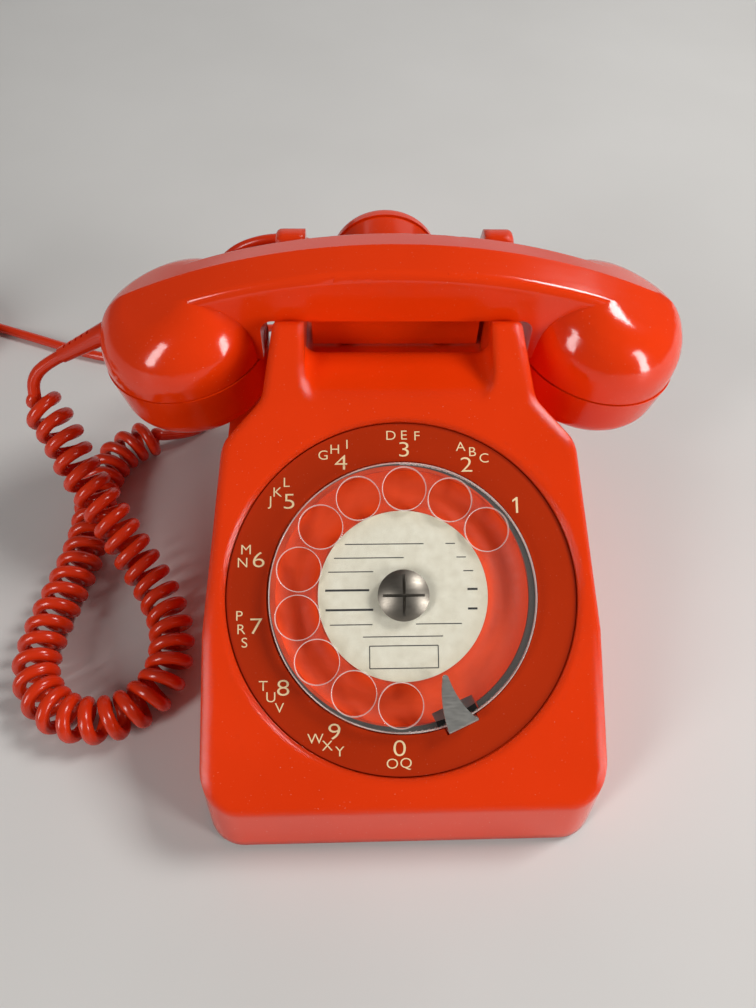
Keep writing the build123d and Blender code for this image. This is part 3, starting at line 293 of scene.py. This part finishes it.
# %% Make the clear wheel's plastic
DIAL_TILT = math.radians(29.4)
DIAL_OUT = Vector((0, -math.sin(DIAL_TILT), math.cos(DIAL_TILT)))
WHEEL_STAIN_SCALE = 40.0
WHEEL_SMOOTH, WHEEL_RUBBED = 0.05, 0.12
# The faint pale cover of the flats and the pale cover at grazing angles are a painted reflection.
FLAT_COVER, WALL_COVER, GLANCE_REFLECTION_COVER = 0.012, 0.75, 0.6


def lean_from_axis(tree):
    """How far a face leans from the dial's axis: 0 on the flats, 1 on the walls."""
    place = tree.nodes.new("ShaderNodeTexCoord")
    lean = tree.nodes.new("ShaderNodeVectorMath")
    lean.operation = "CROSS_PRODUCT"
    lean.inputs[1].default_value = DIAL_OUT
    tree.links.new(place.outputs["Normal"], lean.inputs[0])
    amount = tree.nodes.new("ShaderNodeVectorMath")
    amount.operation = "LENGTH"
    tree.links.new(lean.outputs["Vector"], amount.inputs[0])
    return amount.outputs["Value"]


def larger(tree, first, second):
    """Larger one of two values."""
    most = tree.nodes.new("ShaderNodeMath")
    most.operation = "MAXIMUM"
    tree.links.new(first, most.inputs[0])
    tree.links.new(second, most.inputs[1])
    return most.outputs["Value"]


def clear_plastic():
    """Polished clear plastic that shows mainly at its edges."""
    material, tree, shader = blank_material("clear wheel")
    stain = add_noise(tree, WHEEL_STAIN_SCALE, detail=4.0)
    tint = ramp_between(tree, stain, low=(0.92, 0.84, 0.78), high=(0.99, 0.95, 0.90))
    tree.links.new(tint, shader.inputs["Base Color"])
    rub = add_noise(tree, RUB_SCALE, detail=6.0)
    sheen = ramp_between(tree, rub, grey(WHEEL_SMOOTH), grey(WHEEL_RUBBED))
    tree.links.new(sheen, shader.inputs["Roughness"])
    lean = lean_from_axis(tree)
    walls = ramp_between(tree, lean, grey(FLAT_COVER), grey(WALL_COVER), start=0.4, end=0.95)
    # Painted reflection: faces seen at a grazing angle close up and show pale.
    edge = tree.nodes.new("ShaderNodeLayerWeight")
    edge.inputs["Blend"].default_value = 0.5
    facing = edge.outputs["Facing"]
    painted_grazing_reflection = ramp_between(tree, facing, grey(FLAT_COVER), grey(GLANCE_REFLECTION_COVER), start=0.4, end=0.97)
    tree.links.new(larger(tree, walls, painted_grazing_reflection), shader.inputs["Alpha"])
    return material


CLEAR = clear_plastic()
print("clear finish", CLEAR.name)

# %% [markdown]
# Under the wheel's edge lies a dark metal rim. Its finish is dark only at the right, in a crescent that
# runs out at the left, and orange elsewhere: distance from an off-centre point tells dark from orange.

# %% Make the dark rim's finish
RIM_CENTRE = Vector((-0.0010, -0.0453, 0.0634))
RIM_START, RIM_FULL = 0.0463, 0.0466
RIM_DARK = (0.055, 0.048, 0.042)
RIM_STAIN_SCALE, RIM_ROUGHNESS = 120.0, 0.5


def share_beyond(tree, centre, start, full, most=1.0):
    """Share that grows to its most while the distance from a point grows from start to full."""
    place = tree.nodes.new("ShaderNodeTexCoord")
    reach = tree.nodes.new("ShaderNodeVectorMath")
    reach.operation = "DISTANCE"
    reach.inputs[1].default_value = centre
    tree.links.new(place.outputs["Object"], reach.inputs[0])
    share = tree.nodes.new("ShaderNodeMapRange")
    share.inputs["From Min"].default_value = start
    share.inputs["From Max"].default_value = full
    share.inputs["To Max"].default_value = most
    tree.links.new(reach.outputs["Value"], share.inputs["Value"])
    return share.outputs["Result"]


def crescent_metal():
    """Dark metal outside an off-centre circle and orange inside it."""
    material, tree, shader = blank_material("dark rim")
    stain = add_noise(tree, RIM_STAIN_SCALE, detail=3.0)
    orange = ramp_between(tree, stain, low=(0.60, 0.040, 0.001), high=(0.68, 0.050, 0.001))
    outside = share_beyond(tree, RIM_CENTRE, RIM_START, RIM_FULL)
    tree.links.new(mix_colours(tree, outside, orange, RIM_DARK), shader.inputs["Base Color"])
    shader.inputs["Roughness"].default_value = RIM_ROUGHNESS
    return material


RIM = crescent_metal()
print("rim finish", RIM.name)

# %% [markdown]
# ## Solid parts
# The frame's meshes are loose triangles, so light breaks on every edge of them. They could be modelled
# anew, but a copy keeps their exact shape. Each copy has its doubled corners merged and the triangles of
# each flat joined, and is shaded smooth, with a crease kept wherever two faces meet at more than a set
# angle. The normals that came with the file are dropped, because they would overrule the creases. Large
# faces then pull the shading of the narrow ones beside them level, so that flats stay flat. The copy
# takes the part's place and rides on the same body.

# %% Smooth copies of the parts
NODE_BODY = {}
for body_name, members in frame["record"]["behaviour"]["bodies"].items():
    for member in members:
        NODE_BODY[member] = body_name
WELD, SLIVER = 0.000002, 0.000001
FLAT_ANGLE = math.radians(0.2)
CREASE_ANGLE = math.radians(24.0)


def piece_from(name, work, material):
    """Object of a finished bmesh in one material."""
    mesh = bpy.data.meshes.new(name)
    work.to_mesh(mesh)
    work.free()
    mesh.materials.append(material)
    return add_object(name, mesh)


def smooth_copy(node, material):
    """Merged, smooth-shaded copy that stands for a part."""
    work = bmesh.new()
    work.from_mesh(frame["nodes"][node].data)
    bmesh.ops.remove_doubles(work, verts=work.verts, dist=WELD)
    bmesh.ops.dissolve_degenerate(work, edges=work.edges, dist=SLIVER)
    bmesh.ops.dissolve_limit(work, angle_limit=FLAT_ANGLE, use_dissolve_boundaries=False,
                             verts=work.verts, edges=work.edges, delimit=set())
    for face in work.faces:
        face.smooth = True
        face.material_index = 0
    piece = piece_from(node + "_smooth", work, material)
    piece.data.attributes.remove(piece.data.attributes["custom_normal"])
    piece.data.set_sharp_from_angle(angle=CREASE_ANGLE)
    level = piece.modifiers.new("level", "WEIGHTED_NORMAL")
    level.mode = "FACE_AREA"
    level.keep_sharp = True
    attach(piece, NODE_BODY[node])
    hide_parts(node)
    return piece


SHOWN = {
    "housing": HOUSING, "handset_shell": SHELL, "ear_cap": SHELL, "mouth_cap": SHELL,
    "earpiece_shell": SHELL, "earpiece_cap": SHELL, "hook_bar": SHELL,
    "number_ring": RING, "dial_dish": DISH_PAINTED_PALER, "dial_rim": RIM,
    "finger_wheel": CLEAR, "center_screw": WORN_STEEL, "finger_stop": SATIN_STEEL,
    "handset_boot": CORD, "earpiece_boot": CORD, "cord_grommets": CORD,
    "line_plug": CORD, "plug_pins": SATIN_STEEL, "coil_ties": RUBBER,
    "base_plate": DARK_METAL, "rubber_feet": RUBBER, "earpiece_hook": STEEL,
}
copies = {node: smooth_copy(node, material) for node, material in SHOWN.items()}
print("smooth copies", len(copies))

# %% [markdown]
# The works inside, from the gears behind the dial to the bells, are hidden while the housing is on. A
# smooth copy of each would cost time and show nothing, so they keep their frame meshes and only take a
# finish.

# %% Finish the inner parts
INNER = {
    "main_shaft": STEEL, "main_gear": BRASS, "pulse_gear": BRASS, "impulse_cam": DARK_PLASTIC,
    "impulse_contacts": STEEL, "governor_shaft": STEEL, "governor_weights": BRASS, "governor_cup": BRASS,
    "dial_frame": STEEL, "gear_bridge": STEEL, "dial_screws": STEEL, "return_spring": STEEL,
    "housing_screws": STEEL, "circuit_board": BOARD, "induction_coil": COPPER, "capacitor": STEEL,
    "terminal_block": DARK_PLASTIC, "terminal_screws": STEEL, "ringer_frame": STEEL,
    "ringer_coils": COPPER, "gong_left": BELL, "gong_right": BELL, "gong_screws": STEEL, "clapper": STEEL,
    "hook_bracket": STEEL, "hook_lever": STEEL, "hook_contacts": DARK_PLASTIC, "hook_spring": STEEL,
    "receiver_capsule": STEEL, "microphone_capsule": DARK_PLASTIC, "earpiece_capsule": STEEL,
}


def finish_node(node, material):
    """Give a frame part its finish."""
    slots = frame["nodes"][node].material_slots
    for slot in slots:
        slot.material = material
    return len(slots)


finished = [finish_node(node, material) for node, material in INNER.items()]
print("inner parts", len(finished))

# %% [markdown]
# ## Cords
# Each cord is one smooth line through a given route: out of its boot or grommet, down, and along the
# table. A simulation could let it fall, but then it would lie where chance puts it. The line is a spline
# of order 3, which rounds the corners as a flexible cord does. The first route is the handset cord's,
# from the boot at the left cup in a loop over the table to the back.

# %% Lay the handset cord's route
LINE_STEPS, LINE_ORDER, TUBE_ROUNDNESS = 8, 3, 5


def metres(points):
    """Points in millimetres as vectors in metres."""
    return [Vector(point) * MM for point in points]


def spline_curve(name, points, thickness=0.0):
    """Curve object of one open spline with these control points."""
    data = bpy.data.curves.new(name, "CURVE")
    data.dimensions = "3D"
    data.resolution_u = LINE_STEPS
    data.bevel_depth = thickness / 2
    data.bevel_resolution = TUBE_ROUNDNESS
    data.use_fill_caps = True
    spline = data.splines.new("NURBS")
    spline.points.add(len(points) - 1)
    for control, point in zip(spline.points, points):
        control.co = (*point, 1)
    spline.use_endpoint_u = True
    spline.order_u = LINE_ORDER
    return add_object(name, data)


def line_points(name, points):
    """Points along the smooth line of a route."""
    bare = spline_curve(name + "_line", points)
    mesh = bpy.data.meshes.new_from_object(bare)
    line = [vertex.co.copy() for vertex in mesh.vertices]
    bpy.data.objects.remove(bare)
    return line


def line_length(line):
    """Length along a list of points."""
    return sum((after - before).length for before, after in zip(line, line[1:]))


HANDSET_ROUTE = metres([
    (-136.85, 58.6, 81.86), (-145.44, 58.6, 76.9), (-152.5, 56.5, 70.5), (-153, 52.5, 63),
    (-147, 47, 58), (-141, 39, 53), (-136, 30, 46.5), (-128.5, 20.5, 38.5), (-120, 9.5, 30),
    (-110, -3, 19), (-101, -15, 12),
    (-92.6, -33, 9.9), (-93.5, -55.3, 9.9), (-110, -70.4, 9.9), (-132.3, -69.5, 9.9),
    (-147.4, -53, 9.9), (-146.5, -30.7, 9.9), (-141, -8, 9.9), (-137, 14, 9.9), (-138, 36, 9.9),
    (-137, 56, 9.9), (-128.5, 70, 10), (-116, 77.5, 10), (-104, 81, 6.6), (-94.5, 88.5, 3.2),
    (-88.5, 101, 2.9), (-83, 113.5, 2.9), (-72, 119.5, 3.2), (-61, 115.5, 5), (-56, 105, 8), (-56, 97, 9),
])
handset_line = line_points("handset_route", HANDSET_ROUTE)
print("handset route", round(line_length(handset_line), 3), "m")

# %% [markdown]
# ### Curly handset cord
# A curly cord is a soft cord wound on a rod and set with heat, so its curls lie side by side. A straight
# helix could be bent along the route, but bending squeezes the wire. So the helix is wound round the
# route's line itself. For that, the line has to tell its place and its direction at any distance, and
# one side to count the curls from, which is carried along without twisting.


# %% Walk along the route
def line_walk(line):
    """Function that gives place, direction and carried side at a distance along a line, and its length."""
    reach = [0.0]
    for before, after in zip(line, line[1:]):
        reach.append(reach[-1] + (after - before).length)
    ways = [(after - before).normalized() for before, after in zip(line, line[1:])]
    sides = [Vector((0, 0, 1)).cross(ways[0]).normalized()]
    for way in ways[1:]:
        sides.append((sides[-1] - way * sides[-1].dot(way)).normalized())

    def walk(distance):
        index = 0
        while index < len(ways) - 1 and reach[index + 1] < distance:
            index += 1
        place = line[index] + ways[index] * (distance - reach[index])
        return place, ways[index], sides[index]

    return walk, reach[-1]


handset_walk, handset_length = line_walk(handset_line)
print("half way", [round(value, 3) for value in handset_walk(handset_length / 2)[0]])

# %% [markdown]
# The wire goes round the line once for each curl. At both ends the curls grow out of a plain run and
# shrink back into one, as where a real cord enters its boot. A spline cuts the corners between its
# points, so the points lie a little outside the curl.

# %% Wind the handset cord
CURL_WIRE = 5.2 * MM
CURL_OUTER = 18.8 * MM
CURL_PITCH = 7.9 * MM
CURL_GROWTH = 0.75 * CURL_PITCH
CURL_START, START_POINTS = 26 * MM, 5
CURL_TAIL, TAIL_POINTS = 92 * MM, 14
POINTS_PER_CURL = 14


def ease(share):
    """Smooth step from 0 to 1."""
    share = min(max(share, 0), 1)
    return share * share * (3 - 2 * share)


def spline_shrink(count):
    """Share of a ring's radius that a spline keeps when this many points go round it."""
    return 0.75 + 0.25 * math.cos(2 * math.pi / count)


def curly_points(walk, length, end):
    """Control points of a cord that is plain at both ends and curled between them."""
    radius = (CURL_OUTER - CURL_WIRE) / 2 / spline_shrink(POINTS_PER_CURL)
    last = length - CURL_TAIL
    points = [walk(CURL_START * step / START_POINTS)[0] for step in range(START_POINTS)]
    count = int((last - CURL_START) / CURL_PITCH * POINTS_PER_CURL)
    for step in range(count + 1):
        distance = CURL_START + CURL_PITCH * step / POINTS_PER_CURL
        place, way, side = walk(distance)
        size = radius * ease((distance - CURL_START) / CURL_GROWTH) * ease((last - distance) / CURL_GROWTH)
        angle = 2 * math.pi * step / POINTS_PER_CURL
        points.append(place + (side * math.cos(angle) + way.cross(side) * math.sin(angle)) * size)
    points += [walk(last + CURL_TAIL * step / TAIL_POINTS)[0] for step in range(1, TAIL_POINTS)]
    points.append(end)
    return points


def tube_mesh(name, points, thickness, material):
    """Round tube along a route, as a mesh."""
    curve = spline_curve(name + "_curve", points, thickness)
    mesh = bpy.data.meshes.new_from_object(curve)
    bpy.data.objects.remove(curve)
    mesh.name = name
    mesh.materials.clear()
    mesh.materials.append(material)
    for polygon in mesh.polygons:
        polygon.use_smooth = True
    return add_object(name, mesh)


curl_points = curly_points(handset_walk, handset_length, handset_line[-1])
curl_line = line_points("handset_curls", curl_points)
handset_cord = tube_mesh("curly_handset_cord", curl_points, CURL_WIRE, CORD)
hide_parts("handset_cord")
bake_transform(handset_cord)
print("handset cord", round(line_length(curl_line), 3), "m of wire")

# %% [markdown]
# ### Line cord
# The line cord is a smooth round wire that leaves the back and runs to the left, flat on the table. The
# rest of its length is put away in a neat tied coil, from which a short end leads down to the plug. A
# coil could be a plain helix, but a hand-wound one is flat: its turns spiral in and out again, and climb
# one layer where the spiral turns back.

# %% Lay the line cord
COIL_GAP = 0.5 * MM
POINTS_PER_TURN = 16
CLIMB_TURN = 0.5
LINE_WIRE = 5 * MM
LINE_TURNS, LINE_LAYERS, LINE_COIL = 9.31, 4, 34 * MM
LINE_ROUTE = metres([
    (-36, 97, 9), (-37, 117, 6.5), (-50, 135, 3), (-74, 143, 2.6), (-108, 140, 2.6), (-140, 138.5, 2.6),
    (-165, 144.6, 2.6), (-195, 157, 2.6), (-222, 167.2, 3), (-245, 177, 4),
])
PLUG_DROPS = ((5, 0), (17, 2.5), (29, 7.5), (39, 11.3), (47, 12.5))


def level_way(points):
    """Level direction of a route's last run."""
    run = points[-1] - points[-2]
    return Vector((run.x, run.y, 0)).normalized()


def coil_points(route, wire, turns, layers, outer, hand):
    """Control points of piled turns that carry on from a route, to the left for a hand of 1."""
    step = wire + COIL_GAP
    per_layer = turns / layers
    heading = level_way(route)
    inward = Vector((-heading.y, heading.x, 0)) * hand
    middle = route[-1] + heading * wire + inward * outer
    first = math.atan2(-inward.y, -inward.x)
    swell = 1 / spline_shrink(POINTS_PER_TURN)
    points = []
    count = round(turns * POINTS_PER_TURN)
    for index in range(1, count + 1):
        turn = turns * index / count
        layer = min(int(turn / per_layer), layers - 1)
        inside = turn - layer * per_layer
        depth = inside if layer % 2 == 0 else per_layer - inside
        level = sum(ease((turn - change * per_layer) / CLIMB_TURN + 0.5) for change in range(1, layers))
        angle = first + hand * 2 * math.pi * turn
        arm = Vector((math.cos(angle), math.sin(angle), 0)) * (outer - step * depth) * swell
        points.append(middle + arm + Vector((0, 0, level * step)))
    leave = Vector((-math.sin(angle), math.cos(angle), 0)) * hand
    return points, leave


turns, leave = coil_points(LINE_ROUTE, LINE_WIRE, LINE_TURNS, LINE_LAYERS, LINE_COIL, hand=1)
to_plug = [turns[-1] + leave * (along * MM) - Vector((0, 0, drop * MM)) for along, drop in PLUG_DROPS]
line_control = LINE_ROUTE + turns + to_plug
line_cord = spline_curve("line_cord_run", line_control, LINE_WIRE)
line_cord.data.materials.append(CORD)
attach(line_cord, "base")
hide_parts("line_cord", "line_cord_coil")
line_run = line_length(line_points("line_measure", line_control))
print("line cord", round(line_run, 3), "m")

# %% [markdown]
# ### Earpiece cord
# A thinner smooth cord leaves the second earpiece's boot at the top, drops behind the housing, makes a
# small coil on the table and goes back in at the grommet. It could stay a curve like the line cord, but
# its upper end has to lift with the earpiece while its lower end stays, so it is made a mesh.

# %% Lay the earpiece cord
EAR_WIRE = 4.2 * MM
EAR_TURNS, EAR_LAYERS, EAR_COIL = 2.25, 2, 24.7 * MM
EAR_RUN_OUT, EAR_DROP = 14 * MM, MM
EAR_ROUTE = metres([
    (-31.4, 100, 105.14), (-40.5, 100, 109), (-54, 99.5, 109), (-67, 100, 103.5), (-76, 102, 92),
    (-81, 106.5, 76), (-83, 115, 58), (-81, 128, 40), (-75, 142, 24), (-65, 155, 12), (-50, 165, 5),
    (-30, 170.5, 3.6), (-10, 171.2, 3.6),
])
EAR_END = metres([(23.9, 124, 7), (22.3, 110, 8), (22, 97, 9)])

ear_turns, ear_leave = coil_points(EAR_ROUTE, EAR_WIRE, EAR_TURNS, EAR_LAYERS, EAR_COIL, hand=-1)
run_out = ear_turns[-1] + ear_leave * EAR_RUN_OUT - Vector((0, 0, EAR_DROP))
ear_control = EAR_ROUTE + ear_turns + [run_out] + EAR_END
ear_line = line_points("earpiece_route", ear_control)
ear_cord = tube_mesh("earpiece_cord_run", ear_control, EAR_WIRE, CORD)
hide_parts("earpiece_cord", "earpiece_cord_coil")
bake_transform(ear_cord)
print("earpiece cord", round(line_length(ear_line), 3), "m")

# %% [markdown]
# ## Dial printing
# The numbers and letters stand on the number ring, which falls away slightly towards its edge. Printing
# could be a picture laid over the ring, but at this size its edges would blur. Flat meshes stay sharp.
# They are drawn in the dial's own plane, in millimetres from its centre, and one matrix carries them
# onto the tilted ring.

# %% Dial measures
DIAL_CENTRE = Vector((0, -48, 67)) * MM
DIAL_UP = Vector((0, math.cos(DIAL_TILT), math.sin(DIAL_TILT)))
DIAL_TURN = Matrix((Vector((1, 0, 0)), DIAL_UP, DIAL_OUT)).transposed()
DIAL_FRAME = Matrix.Translation(DIAL_CENTRE) @ DIAL_TURN.to_4x4()
RING_IN, RING_OUT = 48.6 * MM, 62.8 * MM
RING_IN_OFF, RING_OUT_OFF = -2.9 * MM, -4.0 * MM


def ring_height(radius):
    """Offset of the number ring's face at a radius."""
    return RING_IN_OFF + (radius - RING_IN) / (RING_OUT - RING_IN) * (RING_OUT_OFF - RING_IN_OFF)


print("ring falls", round((ring_height(RING_IN) - ring_height(RING_OUT)) / MM, 2), "mm")

# %% [markdown]
# The signs are printed upright in a pale cream. Each one is a text turned into a mesh, centred and
# widened, because the real letters are broad. Only the figure one is drawn corner by corner, because the
# built-in letters give it no flag.

# %% Shape the signs
CAPITAL_SHARE = 0.72
GLYPH_STEPS = 6
ONE_OUTLINE = (
    (0.07, -0.5), (0.07, 0.5), (-0.02, 0.5), (-0.28, 0.31), (-0.28, 0.18), (-0.07, 0.32), (-0.07, -0.5),
)


def glyph(text, height, widen, weight):
    """Mesh of one character, centred, of a given height and widened by a factor."""
    data = bpy.data.curves.new("glyph", "FONT")
    data.body = text
    data.align_x = "CENTER"
    data.align_y = "CENTER"
    data.size = height / CAPITAL_SHARE
    data.offset = weight
    data.resolution_u = GLYPH_STEPS
    holder = add_object("glyph", data)
    bpy.context.view_layer.update()
    mesh = bpy.data.meshes.new_from_object(holder)
    bpy.data.objects.remove(holder)
    work = bmesh.new()
    work.from_mesh(mesh)
    across = [vertex.co.x for vertex in work.verts]
    upward = [vertex.co.y for vertex in work.verts]
    middle = Vector((min(across) + max(across), min(upward) + max(upward), 0)) / 2
    bmesh.ops.translate(work, verts=work.verts, vec=-middle)
    bmesh.ops.scale(work, verts=work.verts, vec=(widen, 1, 1))
    return work


def flagged_one(height):
    """The figure one as an upright bar with a short flag."""
    work = bmesh.new()
    work.faces.new([work.verts.new(Vector((x, up, 0)) * height) for x, up in reversed(ONE_OUTLINE)])
    return work


print("corners of the figure one", len(ONE_OUTLINE))

# %% [markdown]
# One number stands outside each finger hole. All ten are gathered into one piece, because they are one
# printing in one ink. Each point of a sign takes the ring's height at its own distance from the centre
# and stands a hair above it, so that the ink follows the slope and the ring never shows through.

# %% Print the numbers
INK_PROUD = 0.05 * MM
FIRST_HOLE, HOLE_STEP = 37.4, 25.61
DIGITS = "1234567890"
DIGIT_RING = 53.0
DIGIT_HEIGHT, DIGIT_WIDEN, DIGIT_WEIGHT = 5.8 * MM, 1.28, -0.00008


def print_on_ring(name, signs, height, widen, weight):
    """One piece of printing: signs are (text, x, up) in dial millimetres."""
    whole = bmesh.new()
    for text, x, up in signs:
        work = flagged_one(height) if text == "1" else glyph(text, height, widen, weight)
        bmesh.ops.translate(work, verts=work.verts, vec=Vector((x, up, 0)) * MM)
        for vertex in work.verts:
            vertex.co.z = ring_height(vertex.co.xy.length) + INK_PROUD
        bmesh.ops.transform(work, matrix=DIAL_FRAME, verts=work.verts)
        part = bpy.data.meshes.new("part")
        work.to_mesh(part)
        work.free()
        whole.from_mesh(part)
    piece = piece_from(name, whole, CREAM_INK)
    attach(piece, "base")
    return piece


def at_hole(number, radius, aside=0.0):
    """Dial place outside a hole, in millimetres, turned aside by some degrees."""
    angle = math.radians(FIRST_HOLE + HOLE_STEP * number + aside)
    return radius * math.cos(angle), radius * math.sin(angle)


digit_signs = [(digit, *at_hole(number, DIGIT_RING)) for number, digit in enumerate(DIGITS)]
print_on_ring("dial_digits", digit_signs, DIGIT_HEIGHT, DIGIT_WIDEN, DIGIT_WEIGHT)
print("digits", len(digit_signs))

# %% [markdown]
# Each number but the first has a group of letters outside it. A whole word bent along the ring would
# lean, but these letters stand upright, so each is placed alone. They follow the ring, clockwise over
# the upper numbers and the other way round under the lower ones.

# %% Print the letters
LETTERS = ("", "ABC", "DEF", "GHI", "JKL", "MN", "PRS", "TUV", "WXY", "OQ")
LETTER_RING = 58.4
LETTER_STEP = 4.7
LETTER_HEIGHT, LETTER_WIDEN, LETTER_WEIGHT = 3.6 * MM, 1.1, -0.00003
LAST_UPPER = 4


def letter_places(number, group):
    """Letters of one group with their dial places."""
    turn = -LETTER_STEP if number <= LAST_UPPER else LETTER_STEP
    middle = (len(group) - 1) / 2
    asides = [turn * (place - middle) for place in range(len(group))]
    return [(sign, *at_hole(number, LETTER_RING, aside)) for sign, aside in zip(group, asides)]


letter_signs = []
for number, group in enumerate(LETTERS):
    letter_signs += letter_places(number, group)
print_on_ring("dial_letters", letter_signs, LETTER_HEIGHT, LETTER_WIDEN, LETTER_WEIGHT)
print("letters", len(letter_signs))

# %% [markdown]
# ## Number card
# A round card lies under the middle of the clear wheel. It is old paper, so its cream is mottled, and it
# browns towards the edge. A scan of paper could be laid on it, but noise for the fibres and a second
# colour by distance from the centre do the same at any size. The card touches the underside of the
# wheel, and two faces in one place flicker, so its copy is lowered a hair.

# %% Make the card
FIBRE_SCALE, FIBRE_DEPTH = 300.0, 0.00001
CARD_ROUGHNESS = 0.6
BROWNED = (0.62, 0.50, 0.30)
BROWN_START, BROWN_FULL, BROWN_MOST = 24 * MM, 31 * MM, 0.35
CARD_DROP = 0.05 * MM


def card_paper():
    """Cream paper that browns towards the edge of the card."""
    material, tree, shader = blank_material("cream card")
    fibre = add_noise(tree, FIBRE_SCALE, detail=6.0)
    paper = ramp_between(tree, fibre, low=(0.80, 0.75, 0.60), high=(0.90, 0.86, 0.71))
    aged = share_beyond(tree, DIAL_CENTRE, BROWN_START, BROWN_FULL, BROWN_MOST)
    tree.links.new(mix_colours(tree, aged, paper, BROWNED), shader.inputs["Base Color"])
    shader.inputs["Roughness"].default_value = CARD_ROUGHNESS
    add_bump(tree, shader, fibre, FIBRE_DEPTH)
    return material


card = smooth_copy("label_card", card_paper())
for vertex in card.data.vertices:
    vertex.co -= DIAL_OUT * CARD_DROP
print("card corners", len(card.data.vertices))

# %% [markdown]
# The card is ruled for notes, with two heavier rules, a short rule for a number at the right of most
# rows, and one empty box. Lines could be drawn by a shader, but a row of flat inked bars is easier to
# place to a tenth of a millimetre and stays sharp from close by.

# %% Rule the card
CARD_FACE = -1.25
RULE_OFF = CARD_FACE - 0.02
THIN, BOLD = 0.35, 0.75
RULES = (
    (18.3, THIN, ((-20.5, 7.6), (15.5, 18.9))), (13.4, THIN, ((-24.4, 0.4), (19.3, 22.7))),
    (8.5, THIN, ((-26.5, -10.5), (21.7, 25.2))), (2.0, BOLD, ((-27.6, -12.0), (23.0, 26.6))),
    (-4.9, BOLD, ((-27.5, -10.7), (23.0, 26.4))), (-10.1, THIN, ((-26.0, -11.0), (4.4, 20.7))),
    (-14.4, THIN, ((-14.4, 13.9),)),
)
BOX_X, BOX_UP = 12.1, (-17.6, -25.4)


def rule(work, left, right, low, high):
    """Flat inked bar on the card, in dial millimetres."""
    corners = ((left, low), (right, low), (right, high), (left, high))
    work.faces.new([work.verts.new(DIAL_FRAME @ (Vector((x, up, RULE_OFF)) * MM)) for x, up in corners])


def ruled_card():
    """All rules and the empty box, as one piece on the card."""
    work = bmesh.new()
    for up, weight, runs in RULES:
        for left, right in runs:
            rule(work, left, right, up - weight / 2, up + weight / 2)
    top, bottom = BOX_UP
    for up in BOX_UP:
        rule(work, -BOX_X, BOX_X, up - THIN / 2, up + THIN / 2)
    for x in (-BOX_X, BOX_X):
        rule(work, x - THIN / 2, x + THIN / 2, bottom, top)
    piece = piece_from("card_rules", work, BLACK_INK)
    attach(piece, NODE_BODY["label_card"])
    return piece


print("rules", len(ruled_card().data.polygons))

# %% [markdown]
# ## Floor
# The telephone stands on a plain pale floor, one large flat square. As pale as it is seen, it would
# light the undersides of the cups from below. So the floor looks paler, also in what is mirrored and
# seen through, than the light that it throws back, and those undersides stay dark.

# %% Lay the floor
FLOOR_HALF = 3.0
MOTTLE_SCALE, FLOOR_ROUGHNESS = 6.0, 0.6
THROWN_BACK = (0.48, 0.46, 0.43)


def floor_material():
    """Pale floor that throws back less light than it shows."""
    material, tree, shader = blank_material("pale floor")
    mottle = add_noise(tree, MOTTLE_SCALE, detail=3.0)
    shown = ramp_between(tree, mottle, low=(0.68, 0.66, 0.63), high=(0.72, 0.70, 0.67))
    rays = tree.nodes.new("ShaderNodeLightPath")
    seen = rays.outputs["Is Camera Ray"]
    for other in ("Is Glossy Ray", "Is Transmission Ray"):
        seen = larger(tree, seen, rays.outputs[other])
    tree.links.new(mix_colours(tree, seen, THROWN_BACK, shown), shader.inputs["Base Color"])
    shader.inputs["Roughness"].default_value = FLOOR_ROUGHNESS
    return material


ground = bmesh.new()
bmesh.ops.create_grid(ground, x_segments=1, y_segments=1, size=FLOOR_HALF)
floor = piece_from("floor", ground, floor_material())
print("floor", 2 * FLOOR_HALF, "m wide")

# %% [markdown]
# ## Light
# Glossy plastic mirrors its lamps, so their shapes and places draw the highlights. One lamp straight
# above would whiten the sloped face and the top of the handset. Instead there are four soft ones: one
# high at the right, a window-like one low at the right, a tall one from the left front, and one behind,
# which only shows as a pale sheen on the far slope of the handset. The world adds a little plain light.

# %% Set the lamps
LAMPS = (
    ("skylight", (0.95, 0.30, 1.20), (0, -0.02, 0.05), (0.45, 0.45), 13),
    ("window", (1.25, -0.75, 0.40), (0, 0, 0.06), (0.3, 0.8), 12),
    ("room", (-1.2, -1.0, 0.85), (0, 0, 0.05), (0.35, 1.0), 13),
    ("wall", (0.1, 1.4, 0.5), (0, 0, 0.1), (1.6, 1.0), 2.5),
)
WORLD_COLOUR, WORLD_STRENGTH = (0.86, 0.88, 0.9, 1), 0.10


def soft_light(name, place, aim, size, power):
    """Lamp of a width and a height that faces a point."""
    lamp = bpy.data.lights.new(name, "AREA")
    lamp.shape = "RECTANGLE"
    lamp.size, lamp.size_y = size
    lamp.energy = power
    holder = add_object(name, lamp)
    holder.location = place
    holder.rotation_euler = (Vector(aim) - Vector(place)).to_track_quat("-Z", "Y").to_euler()


for lamp_values in LAMPS:
    soft_light(*lamp_values)
world = bpy.data.worlds.new("studio")
world.use_nodes = True
background = world.node_tree.nodes["Background"]
background.inputs["Color"].default_value = WORLD_COLOUR
background.inputs["Strength"].default_value = WORLD_STRENGTH
bpy.context.scene.world = world
bpy.context.scene.view_settings.view_transform = "Standard"
print("lamps", len(bpy.data.lights))
